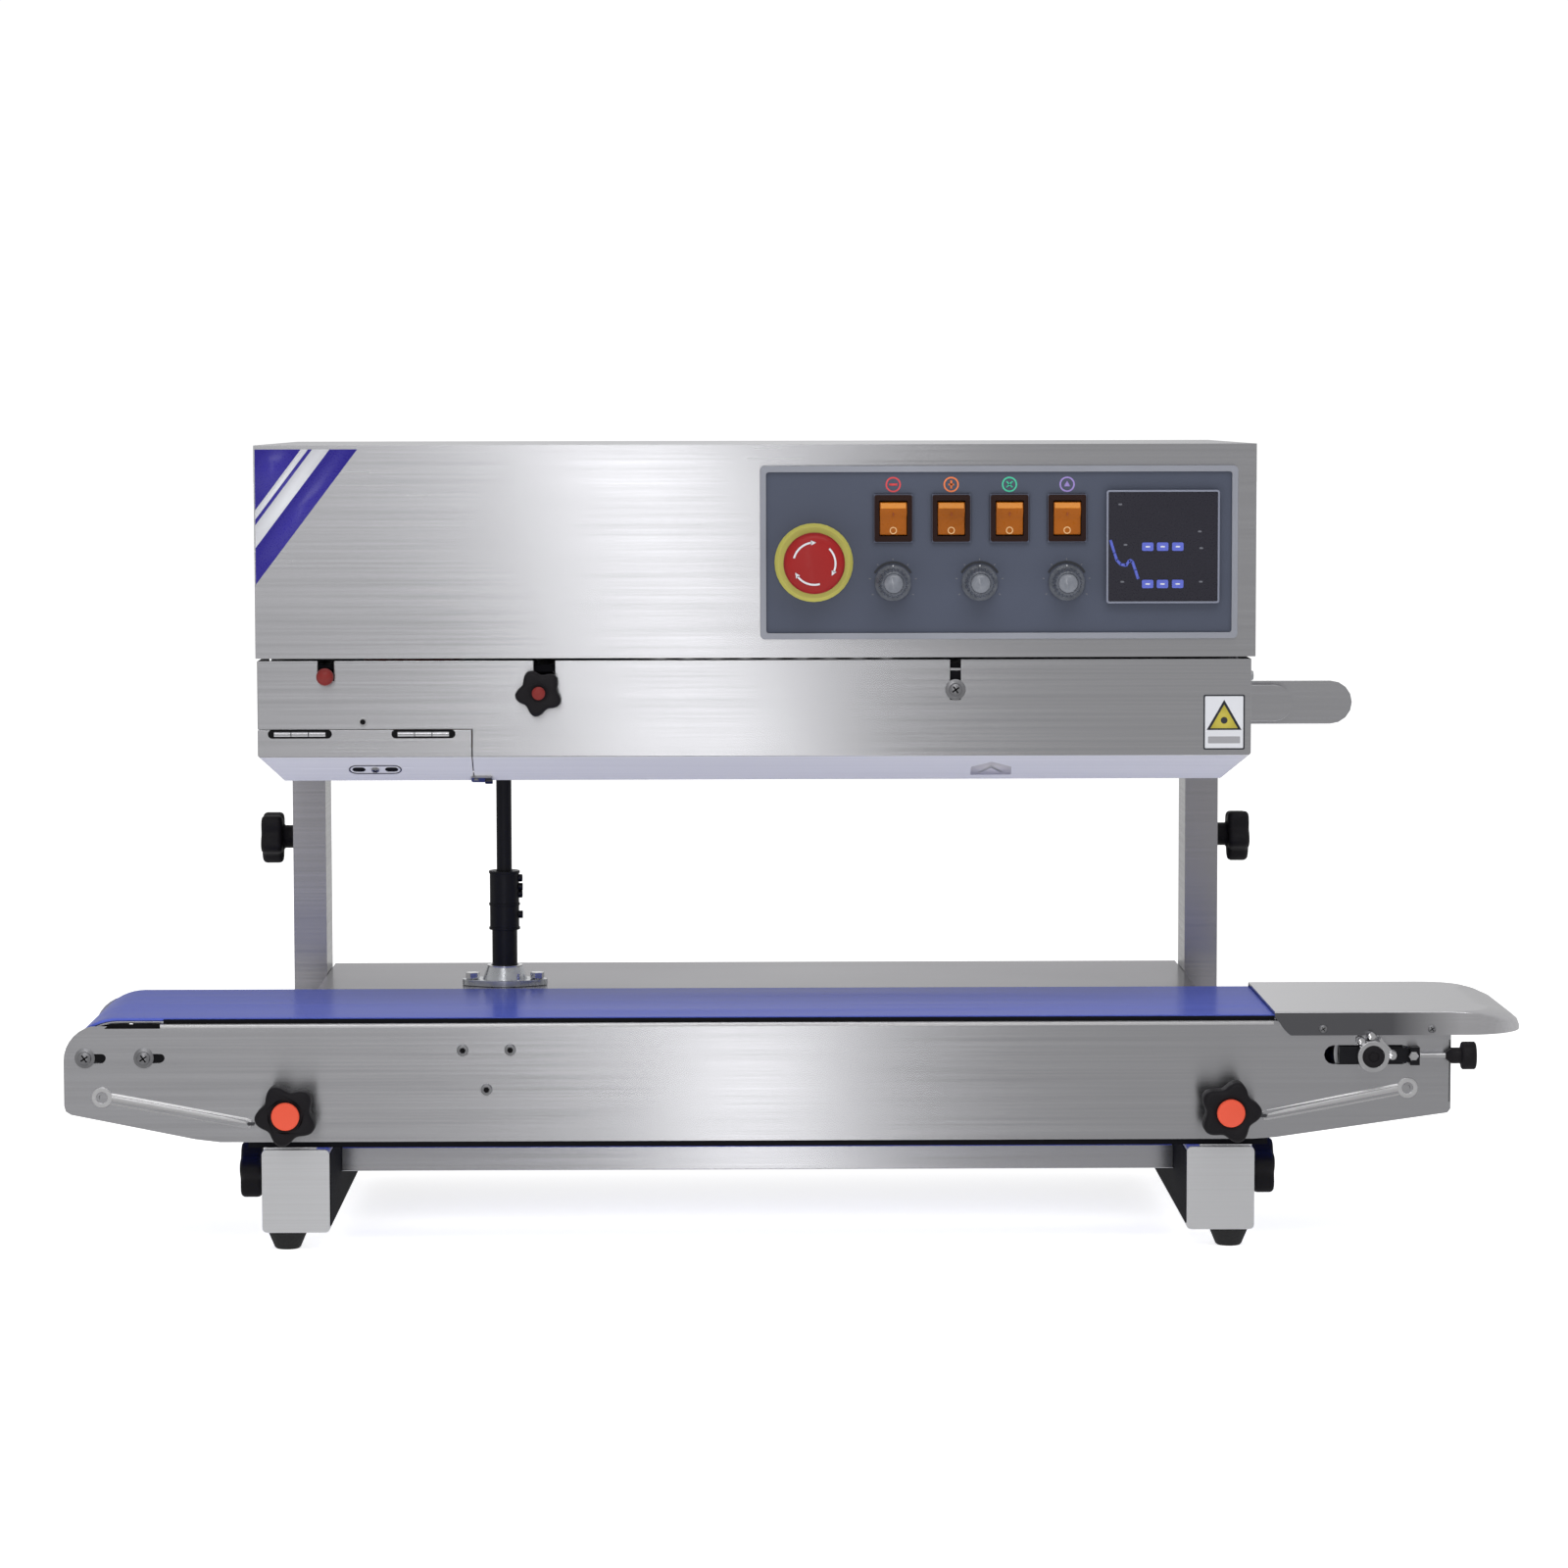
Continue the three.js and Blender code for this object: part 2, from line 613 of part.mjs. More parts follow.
const innerPost = (sign) => {
  const [x0, x1] = sign > 0 ? [301, 317.2] : [-317.2, -301];
  return cut(
    block(x0, x1, POST_FRONT + 2.4, POST_BACK - 2.4, 152, DECK_BOTTOM + 1),
    block(x0 + 1.6, x1 - 1.6, POST_FRONT + 4, POST_BACK - 4, 151, DECK_BOTTOM - 4),
  );
};
const pressureBoss = block(-148, -131, 8, 24, 354, DECK_BOTTOM + 1);
const screwBoss = block(120, 134, -5.5, 8, 354, DECK_BOTTOM + 1);
addNode(
  "head_frame",
  cut(
    join(
      block(-316, 313.5, -4, 296, DECK_BOTTOM, DECK_TOP),
      innerPost(-1),
      innerPost(1),
      pressureBoss,
      screwBoss,
    ),
    bar("y", [-139.5, 362.7], 0, 30, 3.6, 3.6, 16),
    bar("z", [SHAFT_X, SHAFT_Y], 370, 385, 6.4),
    bar("z", [-WHEEL_X, SEAL_Y - WHEEL_OFFSET], 370, 385, 6.4, 6.4, 16),
    bar("z", [-WHEEL_X, SEAL_Y + WHEEL_OFFSET], 370, 385, 6.4, 6.4, 16),
  ),
  "stainless",
);

const ventSlots = Array.from({ length: 10 }, (_, i) => {
  const x = -90 + 20 * i;
  return block(x, x + 6, HEAD_BACK - 5, HEAD_BACK + 5, 430, 480);
});
addNode(
  "upper_housing",
  cut(
    block(HEAD_LEFT, HEAD_RIGHT, HEAD_FRONT, HEAD_BACK, HOUSING_BOTTOM, HEAD_TOP),
    block(
      HEAD_LEFT + SHEET,
      HEAD_RIGHT - SHEET,
      HEAD_FRONT + SHEET,
      HEAD_BACK - SHEET,
      HOUSING_BOTTOM - 1,
      HEAD_TOP - SHEET,
    ),
    block(PANEL.left + 10, PANEL.right - 10, HEAD_FRONT - 1, HEAD_FRONT + 5, PANEL.bottom + 8, PANEL.top - 8),
    ...ventSlots,
  ),
  "stainless",
);

// A tray-like cover: one outline seen from the end, one seen from the front, hollowed to sheet thickness.
function coverShell(left, right, sectionOf) {
  const faceOf = (inset, top) => [
    [left + inset, top],
    [left + inset, SKIRT_TOP + 1 - inset / 3],
    [left + 15 + inset / 2, HEAD_BOTTOM + inset],
    [right - 17 - inset / 2, HEAD_BOTTOM + inset],
    [right - inset, SKIRT_TOP + 1 - inset / 3],
    [right - inset, top],
  ];
  const body = (inset, extra) =>
    prismX(sectionOf(inset, extra), left - 1, right + 1).intersect(
      prismY(faceOf(inset, COVER_TOP + extra), HEAD_FRONT - 5, HEAD_BACK + 5),
    );
  return cut(body(0, 0), body(SHEET, 3));
}
const frontSection = (inset, extra) => [
  [COVER_FRONT + inset, COVER_TOP + extra],
  [COVER_FRONT + inset, SKIRT_TOP + inset / 3],
  [SKIRT_FOOT + inset / 2, HEAD_BOTTOM + inset],
  [COVER_BACK + extra, HEAD_BOTTOM + inset],
  [COVER_BACK + extra, COVER_TOP + extra],
];
const rearSection = (inset, extra) => [
  [REAR_COVER_FRONT - extra, COVER_TOP + extra],
  [REAR_COVER_FRONT - extra, HEAD_BOTTOM + inset],
  [HEAD_BACK - 16 - inset / 2, HEAD_BOTTOM + inset],
  [HEAD_BACK - inset, SKIRT_TOP + inset / 3],
  [HEAD_BACK - inset, COVER_TOP + extra],
];
const wholeCover = coverShell(COVER_LEFT, COVER_RIGHT, frontSection);
const coverSlots = join(
  block(-281.3, -271.1, -12, 0, 369.8, 390),
  block(-143.2, -129.8, -12, 0, 356, 390),
  block(123.6, 130.2, -12, 0, 357, 390),
);
const flapZone = (gap) => block(-330, FLAP_RIGHT + gap, -20, 18 + gap, 290, FLAP_TOP + gap);
addNode("front_cover", cut(wholeCover, coverSlots, flapZone(0.4)), "stainless");
addNode("access_flap", wholeCover.intersect(flapZone(0)), "stainless");

const postOpening = (sign) => {
  const [x0, x1] = sign > 0 ? [299.5, 325] : [-325, -299.5];
  return block(x0, x1, POST_FRONT + 0.5, POST_BACK - 0.5, 300, 332);
};
addNode(
  "rear_cover",
  cut(
    coverShell(HEAD_LEFT, HEAD_RIGHT, rearSection),
    postOpening(-1),
    postOpening(1),
    bar("z", [SHAFT_X, SHAFT_Y], 300, 308, 8),
  ),
  "stainless",
);

// Control panel: a plate with a raised rim, switch frames, and openings for everything set in it.
const rim = prismY(
  roundedRectangle(PANEL.left, PANEL.right, PANEL.bottom, PANEL.top, 3),
  PANEL.front - 1,
  PANEL.back,
  [roundedRectangle(PANEL.left + 3.6, PANEL.right - 3.6, PANEL.bottom + 3.6, PANEL.top - 3.6, 2)],
);
const plate = block(
  PANEL.left + 2,
  PANEL.right - 2,
  PANEL.front,
  PANEL.back,
  PANEL.bottom + 2,
  PANEL.top - 2,
);
const frames = ROCKERS.map((x) =>
  block(x - 12.5, x + 12.5, PANEL.front - 2, PANEL.front + 0.5, ROCKER_Z - 15.5, ROCKER_Z + 15.5),
);
const windows = ROCKERS.map((x) => block(x - 9, x + 9, -30, 0, ROCKER_Z - 11.3, ROCKER_Z + 11.3));
const dialHoles = DIALS.map((x) => bar("y", [x, DIAL_Z], -30, 0, 3.8, 3.8, 16));
const controllerHole = block(
  CONTROLLER.x - 33.6,
  CONTROLLER.x + 33.6,
  -30,
  0,
  CONTROLLER.z - 33.6,
  CONTROLLER.z + 33.6,
);
addNode(
  "control_panel",
  cut(
    join(rim, plate, ...frames),
    ...windows,
    ...dialHoles,
    controllerHole,
    bar("y", [ESTOP.x, ESTOP.z], -30, 0, 11.5),
  ),
  "panel",
);
addNode(
  "temperature_controller",
  join(
    prismY(
      roundedRectangle(
        CONTROLLER.x - CONTROLLER.half,
        CONTROLLER.x + CONTROLLER.half,
        CONTROLLER.z - CONTROLLER.half,
        CONTROLLER.z + CONTROLLER.half,
        1.5,
      ),
      PANEL.front - 3.6,
      PANEL.front - GAP,
    ),
    block(CONTROLLER.x - 33, CONTROLLER.x + 33, PANEL.front - 1, 62, CONTROLLER.z - 33, CONTROLLER.z + 33),
  ),
  "bezel",
);
const estopAt = [ESTOP.x, ESTOP.z];
addNode(
  "estop_collar",
  cut(bar("y", estopAt, PANEL.front - 3, PANEL.front - GAP, 23, 25.4, 36), bar("y", estopAt, -30, 0, 11.5)),
  "yellow",
);
addNode(
  "estop_button",
  join(
    bar("y", estopAt, -34, -29, 15.5, 19.6, 32),
    bar("y", estopAt, -29, -22, 19.6, 18.2, 32),
    bar("y", estopAt, -23, 14, 10.8),
  ),
  "red",
);

// Rocker switches rest with their lower half pressed in.
const rockerTilt = (10 * Math.PI) / 180;
const rockerFace = [
  [-16.2, -10.4],
  [-14.2, 0],
  [-16.2, 10.4],
  [-9.5, 10.4],
  [-9.5, -10.4],
].map(([y, z]) => [
  -13 + (y + 13) * Math.cos(rockerTilt) - z * Math.sin(rockerTilt),
  ROCKER_Z + (y + 13) * Math.sin(rockerTilt) + z * Math.cos(rockerTilt),
]);
ROCKERS.forEach((x, i) => {
  addNode(`rocker_${i + 1}`, prismX(rockerFace, x - 8.6, x + 8.6), "amber");
});

DIALS.forEach((x, i) => {
  addNode(
    `dial_${i + 1}`,
    join(
      bar("y", [x, DIAL_Z], -16.5, PANEL.front - GAP, 11.6, 11.6, 32),
      bar("y", [x, DIAL_Z], -29, -16, 8, 9, 32),
      bar("y", [x, DIAL_Z], -14, 6, 3, 3, 16),
      block(x - 1, x + 1, -28.5, -15, DIAL_Z + 6, DIAL_Z + 10.4),
    ),
    "clearGrey",
  );
});

const pressureAt = [-139.5, 362.7];
addNode(
  "pressure_knob",
  join(
    prismY(shifted(knobOutline(15.4, 45), ...pressureAt), -28, -15),
    bar("y", pressureAt, -16, -9, 6),
    bar("y", pressureAt, -10, 34, 3, 3, 16),
  ),
  "blackPlastic",
);
const leverAt = [-276.2, 372.8];
addNode(
  "release_lever",
  join(
    solid(new THREE.SphereGeometry(5.6, 16, 8).translate(leverAt[0], -15.5, leverAt[1])),
    bar("y", leverAt, -12, -5, 2, 2, 12),
    bar("y", leverAt, -6.1, -4.6, 4.6, 4.6, 16),
  ),
  "red",
);

// Guide plates that lead the bag mouth in between the bands.
addNode(
  "infeed_guide",
  join(
    prismY(stadium(313, 349, 378.8, 349, 14.3, 8), 80, 81.5),
    prismY(stadium(313, 349, 341, 349, 12, 8), 72, 73.5),
    block(298.8, 314, 72, 81.5, 361, 364),
    block(298.8, 314, 72, 73.5, 349, 362),
    block(298.8, 314, 80, 81.5, 349, 362),
    block(300, 312, 75, 80, 363, DECK_BOTTOM - GAP),
  ),
  "stainless",
);

// ---------------------------------------------------------------- sealing mechanism

function gearOutline(x, y, tip, teeth) {
  return Array.from({ length: teeth * 4 }, (_, i) => {
    const angle = (2 * Math.PI * i) / (teeth * 4);
    const reach = i % 4 < 2 ? tip : tip - 3;
    return [x + reach * Math.cos(angle), y + reach * Math.sin(angle)];
  });
}

for (const [side, sign] of [
  ["front", -1],
  ["rear", 1],
]) {
  const wheelY = SEAL_Y + sign * WHEEL_OFFSET;
  const wheel = (x) =>
    join(
      bar("z", [x, wheelY], BAND_BOTTOM - 1, BAND_TOP + 1, WHEEL_RADIUS, WHEEL_RADIUS, 32),
      bar("z", [x, wheelY], BAND_TOP, 350, 12),
    );
  addNode(
    `drive_wheel_${side}`,
    join(
      wheel(-WHEEL_X),
      bar("z", [-WHEEL_X, wheelY], 349, 392, 5.5, 5.5, 16),
      prismZ(gearOutline(-WHEEL_X, wheelY, WHEEL_OFFSET - 0.25, 16), DECK_TOP + 1.5, DECK_TOP + 7.5),
    ),
    "silicone",
  );
  addNode(
    `idler_wheel_${side}`,
    join(wheel(WHEEL_X), bar("z", [WHEEL_X, wheelY], 349, DECK_BOTTOM - GAP, 5.5, 5.5, 16)),
    "silicone",
  );
  const loop = (radius) => stadium(-WHEEL_X, wheelY, WHEEL_X, wheelY, radius, 16);
  addNode(
    `seal_band_${side}`,
    prismZ(loop(WHEEL_RADIUS + GAP + BAND_THICK), BAND_BOTTOM, BAND_TOP, [loop(WHEEL_RADIUS + GAP)]),
    "fluoropolymer",
  );
  const contact = SEAL_Y + sign * (BAND_GAP + BAND_THICK + GAP);
  for (const [name, x0, x1, finish] of [
    ["heater_block", 10, 130, "brass"],
    ["cooling_block", -110, -10, "aluminium"],
  ]) {
    const [y0, y1] = sign < 0 ? [contact - 14, contact] : [contact, contact + 14];
    const hangerX = (x0 + x1) / 2;
    const bodyBlock = block(x0, x1, y0, y1, 322, 343);
    const hanger = block(hangerX - 9, hangerX + 9, y0 + 2, y1 - 2, 342, DECK_BOTTOM - GAP);
    addNode(`${name}_${side}`, join(bodyBlock, hanger), finish);
  }
}

addNode(
  "drive_motor",
  join(
    block(-148, -82, 176, 242, DECK_TOP + GAP, 428),
    bar("z", [-115, 209], 427, 505, 32, 32, 32),
    bar("z", [-115, 209], 504, 510, 26, 22, 32),
  ),
  "blackSteel",
);

const bounds = new THREE.Box3().setFromObject(root);
const middle = bounds.getCenter(new THREE.Vector3());
root.position.set(-middle.x, -middle.y, -bounds.min.z);
root.updateMatrixWorld(true);

export default root;
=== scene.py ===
# Continuous band sealer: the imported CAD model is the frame, and this script gives it its looks.
# Fixed sizes below are millimetres in the machine's own axes: X from the middle of the conveyor towards
# the tray, Y from the face of the conveyor's front plate towards the back, Z from the floor.
import math

import bmesh
import bpy
from mathutils import Matrix, Quaternion, Vector


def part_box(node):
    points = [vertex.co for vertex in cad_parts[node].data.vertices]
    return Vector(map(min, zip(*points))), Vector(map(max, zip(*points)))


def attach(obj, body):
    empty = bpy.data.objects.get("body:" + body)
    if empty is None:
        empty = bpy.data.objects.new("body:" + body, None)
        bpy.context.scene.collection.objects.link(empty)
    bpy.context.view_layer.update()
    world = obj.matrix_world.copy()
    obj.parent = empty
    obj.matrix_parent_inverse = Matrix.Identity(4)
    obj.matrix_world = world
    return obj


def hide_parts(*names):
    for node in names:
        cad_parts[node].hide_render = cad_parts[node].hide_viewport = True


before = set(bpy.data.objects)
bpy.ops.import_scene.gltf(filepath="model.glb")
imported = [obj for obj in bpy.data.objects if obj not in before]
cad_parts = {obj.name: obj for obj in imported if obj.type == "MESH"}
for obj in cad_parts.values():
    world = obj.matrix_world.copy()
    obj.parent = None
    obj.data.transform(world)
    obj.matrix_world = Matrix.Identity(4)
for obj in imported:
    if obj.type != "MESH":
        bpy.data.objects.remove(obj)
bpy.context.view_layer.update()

MM = 0.001
leg_low, leg_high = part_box("leg_left")[0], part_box("leg_right")[1]
RIB_PROUD = 0.8
ORIGIN = Vector(
    (
        (leg_low.x + leg_high.x) / 2,
        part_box("conveyor_front_plate")[0].y + RIB_PROUD * MM,
        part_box("foot_front_left")[0].z,
    )
)


def at(x, y, z):
    """A point in machine millimetres, as a point in the frame."""
    return ORIGIN + Vector((x, y, z)) * MM


def span(node):
    """A CAD node's lowest and highest corner in machine millimetres."""
    low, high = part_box(node)
    return (low - ORIGIN) / MM, (high - ORIGIN) / MM


# ---------- camera, light, floor

SENSOR = 36.0
FOCAL_LENGTH = 108.29025
CAMERA_AT = (-16.85, -3025.2, 545.65)
CAMERA_YAW, CAMERA_PITCH, CAMERA_ROLL = 0.64, 4.6, -0.11
WORLD_FRONT, WORLD_BACK, WORLD_COLUMN, WORLD_SEEN = 0.38, 0.5, 0.32, 1.05
FLOOR_SIDE, FLOOR_DROP = 30, 0.0002


def make_camera():
    data = bpy.data.cameras.new("camera")
    data.sensor_width = SENSOR
    data.lens = FOCAL_LENGTH
    data.clip_end = 100
    camera = bpy.data.objects.new("camera", data)
    bpy.context.collection.objects.link(camera)
    yaw, pitch, roll = (math.radians(v) for v in (CAMERA_YAW, CAMERA_PITCH, CAMERA_ROLL))
    forward = Vector((math.sin(yaw) * math.cos(pitch), math.cos(yaw) * math.cos(pitch), -math.sin(pitch)))
    right = forward.cross(Vector((0, 0, 1))).normalized()
    up = right.cross(forward)
    right, up = (
        right * math.cos(roll) + up * math.sin(roll),
        up * math.cos(roll) - right * math.sin(roll),
    )
    turn = Matrix((right, up, -forward)).transposed().to_4x4()
    camera.matrix_world = Matrix.Translation(at(*CAMERA_AT)) @ turn
    bpy.context.scene.camera = camera


def map_range(tree, source, start, end, low, high, smooth=False):
    made = tree.nodes.new("ShaderNodeMapRange")
    if smooth:
        made.interpolation_type = "SMOOTHSTEP"
    for key, value in (("From Min", start), ("From Max", end), ("To Min", low), ("To Max", high)):
        made.inputs[key].default_value = value
    tree.links.new(source, made.inputs["Value"])
    return made.outputs["Result"]


def combine(tree, operation, first, second=None):
    made = tree.nodes.new("ShaderNodeMath")
    made.operation = operation
    tree.links.new(first, made.inputs[0])
    if second is not None:
        tree.links.new(second, made.inputs[1])
    return made.outputs[0]


def make_world():
    """White to the eye; in reflections dim in front, brighter behind, most of all straight behind."""
    world = bpy.data.worlds.new("studio")
    bpy.context.scene.world = world
    world.use_nodes = True
    tree = world.node_tree
    background = tree.nodes["Background"]
    direction = tree.nodes.new("ShaderNodeTexCoord")
    split = tree.nodes.new("ShaderNodeSeparateXYZ")
    tree.links.new(direction.outputs["Generated"], split.inputs[0])

    aside = combine(tree, "ABSOLUTE", split.outputs["X"])
    behind = map_range(tree, split.outputs["Y"], 0.3, 0.8, 0.0, 1.0)
    column = combine(tree, "MULTIPLY", behind, map_range(tree, aside, 0.0, 0.2, WORLD_COLUMN, 0.0, True))
    depth = map_range(tree, split.outputs["Y"], -0.5, 0.3, WORLD_FRONT, WORLD_BACK)
    total = combine(tree, "ADD", depth, column)
    eye = tree.nodes.new("ShaderNodeLightPath")
    seen = tree.nodes.new("ShaderNodeMix")
    seen.data_type = "FLOAT"
    seen.inputs[3].default_value = WORLD_SEEN
    tree.links.new(eye.outputs["Is Camera Ray"], seen.inputs[0])
    tree.links.new(total, seen.inputs[2])
    tree.links.new(seen.outputs[0], background.inputs["Strength"])
    background.inputs["Color"].default_value = (1, 1, 1, 1)


def softbox(name, place, aim, width, height, radiance, glossy=True, lean=0.0):
    """A rectangular light of a given brightness; a fill light stays out of the metal's reflections."""
    data = bpy.data.lights.new(name, "AREA")
    data.shape = "RECTANGLE"
    data.size, data.size_y = width, height
    data.energy = radiance * math.pi * width * height
    lamp = bpy.data.objects.new(name, data)
    bpy.context.collection.objects.link(lamp)
    lamp.location = place
    lamp.rotation_mode = "QUATERNION"
    turn = (Vector(aim) - Vector(place)).to_track_quat("-Z", "Y")
    lamp.rotation_quaternion = turn @ Quaternion((0, 0, 1), math.radians(lean))
    lamp.visible_glossy = glossy
    lamp.visible_camera = False


def make_floor():
    mesh = bpy.data.meshes.new("floor")
    corners = [(u * FLOOR_SIDE, v * FLOOR_SIDE, 0) for u, v in ((-1, -1), (1, -1), (1, 1), (-1, 1))]
    mesh.from_pydata(corners, [], [(0, 1, 2, 3)])
    floor = bpy.data.objects.new("floor", mesh)
    bpy.context.collection.objects.link(floor)
    floor.location.z = ORIGIN.z - FLOOR_DROP
    material = bpy.data.materials.new("floor_white")
    material.use_nodes = True
    shader = material.node_tree.nodes["Principled BSDF"]
    shader.inputs["Base Color"].default_value = (0.93, 0.93, 0.93, 1)
    shader.inputs["Roughness"].default_value = 0.9
    shader.inputs["Emission Color"].default_value = (1, 1, 1, 1)
    shader.inputs["Emission Strength"].default_value = 0.75
    mesh.materials.append(material)
    floor.visible_glossy = False


bpy.context.scene.view_settings.view_transform = "Standard"
make_camera()
make_world()
make_floor()
softbox("strip", (-0.37, -4.3, 1.6), (-0.31, -0.15, 1.6), 0.23, 3.0, 3.3, lean=10)
softbox("low_strip", (0.04, -4.3, -1.2), (0.1, -0.15, -1.2), 0.19, 2.6, 2.4, lean=4)
softbox("left_wall", (-1.15, -4.3, 2.1), (-0.3, -0.15, 0.4), 1.5, 3.2, 0.5)
softbox("top_glow", (0, -1.9, 3.0), (0, 0, 0.3), 3.2, 0.9, 1.5)
softbox("top_fill", (0.2, -1.6, 2.6), (0, 0, 0.2), 2.4, 1.6, 2.3, glossy=False)

# ---------- materials


class Shader:
    """A node material, with short helpers for its nodes."""

    def __init__(self, name):
        self.material = bpy.data.materials.new(name)
        self.material.use_nodes = True
        self.tree = self.material.node_tree
        self.bsdf = self.tree.nodes["Principled BSDF"]
        self.coords = self.node("ShaderNodeTexCoord").outputs["Object"]

    def node(self, kind, **settings):
        made = self.tree.nodes.new(kind)
        for key, value in settings.items():
            if hasattr(made, key):
                setattr(made, key, value)
            else:
                made.inputs[key.replace("_", " ")].default_value = value
        return made

    def link(self, source, target):
        self.tree.links.new(source, target)
        return self

    def set(self, **values):
        for key, value in values.items():
            self.bsdf.inputs[key.replace("_", " ")].default_value = value
        return self

    def noise(self, scale, detail=3.0, stretch=(1, 1, 1)):
        mapping = self.node("ShaderNodeMapping")
        mapping.inputs["Scale"].default_value = stretch
        self.link(self.coords, mapping.inputs["Vector"])
        made = self.node("ShaderNodeTexNoise")
        made.inputs["Scale"].default_value = scale
        made.inputs["Detail"].default_value = detail
        self.link(mapping.outputs[0], made.inputs["Vector"])
        return made.outputs["Fac"]

    def remap(self, source, low, high, start=0.3, end=0.7):
        return map_range(self.tree, source, start, end, low, high)

    def blend(self, factor, first, second):
        made = self.node("ShaderNodeMix", data_type="RGBA")
        for socket, value in ((made.inputs[6], first), (made.inputs[7], second)):
            if isinstance(value, tuple):
                socket.default_value = (*value, 1)
            else:
                self.link(value, socket)
        self.link(factor, made.inputs[0])
        return made.outputs[2]

    def bump(self, height, strength, distance):
        made = self.node("ShaderNodeBump")
        made.inputs["Strength"].default_value = strength
        made.inputs["Distance"].default_value = distance
        self.link(height, made.inputs["Height"])
        self.link(made.outputs[0], self.bsdf.inputs["Normal"])
        return self


def brushed_steel(
    name, color, roughness=0.23, anisotropy=0.85, upright=None, ends=None, underside=1.0, fade=None,
):
    """Sheet steel with fine lines along X on the faces, along Y on the ends.

    upright and ends paint shade onto upright faces and end faces, upright fading out
    between two X positions; underside below 1 makes downward faces duller and less metallic, which paints
    light onto them."""
    s = Shader(name)
    s.set(Metallic=1.0, Anisotropic=anisotropy)
    normal = s.node("ShaderNodeNewGeometry").outputs["Normal"]
    facing = s.node("ShaderNodeSeparateXYZ")
    s.link(normal, facing.inputs[0])

    def beyond(output, level, operation="GREATER_THAN", absolute=True):
        if absolute:
            output = combine(s.tree, "ABSOLUTE", output)
        past = s.node("ShaderNodeMath", operation=operation)
        past.inputs[1].default_value = level
        s.link(output, past.inputs[0])
        return past.outputs[0]

    on_end, on_top = beyond(facing.outputs[0], 0.75), beyond(facing.outputs[2], 0.75)
    along_x = s.noise(1.0, 2.0, (4, 620, 620))
    along_y = s.noise(1.0, 2.0, (620, 4, 620))
    lines = s.node("ShaderNodeMix", data_type="FLOAT")
    s.link(on_end, lines.inputs[0]).link(along_x, lines.inputs[2]).link(along_y, lines.inputs[3])
    grain = lines.outputs[0]
    cloud = s.noise(5.0, 3.0, (1.0, 1.0, 2.5))
    dark, light = tuple(c * 0.955 for c in color), tuple(min(1.0, c * 1.03) for c in color)
    tone = s.blend(s.remap(grain, 0, 1), dark, light)
    haze_and_painted_shade = s.blend(s.remap(cloud, 0.0, 0.5), tone, color)
    if upright:
        amount = beyond(facing.outputs[2], 0.5, "LESS_THAN")
        if fade:
            along = s.node("ShaderNodeSeparateXYZ")
            s.link(s.coords, along.inputs[0])
            amount = combine(s.tree, "MULTIPLY", amount, s.remap(along.outputs[0], 1, 0, *fade))
        haze_and_painted_shade = s.blend(amount, haze_and_painted_shade, upright)
    if ends:
        haze_and_painted_shade = s.blend(on_end, haze_and_painted_shade, ends)
    s.link(haze_and_painted_shade, s.bsdf.inputs["Base Color"])
    if underside < 1:
        below = beyond(facing.outputs[2], -0.5, "LESS_THAN", absolute=False)
        s.link(s.remap(below, 1.0, underside, 0.0, 1.0), s.bsdf.inputs["Metallic"])
    elif ends:
        s.link(s.remap(on_end, 1.0, 0.2, 0.0, 1.0), s.bsdf.inputs["Metallic"])
    rough = s.remap(grain, roughness - 0.02, roughness + 0.03)
    s.link(combine(s.tree, "ADD", rough, s.remap(cloud, -0.015, 0.02)), s.bsdf.inputs["Roughness"])
    tangent = s.node("ShaderNodeMix", data_type="VECTOR")
    tangent.inputs[4].default_value = (0, 0, 1)
    tangent.inputs[5].default_value = (0, 1, 0)
    s.link(on_top, tangent.inputs[0])
    s.link(tangent.outputs[1], s.bsdf.inputs["Tangent"])
    s.bump(grain, 0.03, 0.00006)
    return s.material


def metal(name, color, roughness=0.25, spread=0.08, scale=120.0):
    s = Shader(name).set(Metallic=1.0)
    cloud = s.noise(scale, 4.0)
    s.link(s.blend(s.remap(cloud, 0, 1), tuple(c * 0.85 for c in color), color), s.bsdf.inputs["Base Color"])
    s.link(s.remap(cloud, roughness - spread, roughness + spread), s.bsdf.inputs["Roughness"])
    return s.bump(cloud, 0.08, 0.0001).material


def plastic(name, color, roughness=0.45, grain=0.12, scale=900.0, coat=0.0, variation=0.12, shine=0.5):
    """Moulded plastic: a fine leather-like grain and a slight change of tone."""
    s = Shader(name).set(Coat_Weight=coat, Coat_Roughness=0.08, Specular_IOR_Level=shine)
    fine, broad = s.noise(scale, 3.0), s.noise(18.0, 2.0)
    dark = tuple(c * (1 - variation) for c in color)
    s.link(s.blend(s.remap(broad, 0, 1), dark, color), s.bsdf.inputs["Base Color"])
    s.link(s.remap(fine, roughness - 0.06, roughness + 0.08), s.bsdf.inputs["Roughness"])
    return s.bump(fine, grain, 0.00012).material


def translucent(name, color, deep, roughness=0.18, transmission=0.35):
    """Tinted clear plastic with a deeper tone inside."""
    s = Shader(name).set(Transmission_Weight=transmission, IOR=1.49, Coat_Weight=0.6, Coat_Roughness=0.05)
    cloud = s.noise(160.0, 3.0)
    s.link(s.blend(s.remap(cloud, 0, 1), deep, color), s.bsdf.inputs["Base Color"])
    s.link(s.remap(cloud, roughness - 0.05, roughness + 0.08), s.bsdf.inputs["Roughness"])
    return s.bump(cloud, 0.05, 0.0002).material


def printed(name, color, roughness=0.4):
    """Ink or foil on a thin film."""
    return plastic(name, color, roughness, grain=0.03, scale=1500.0, variation=0.06)


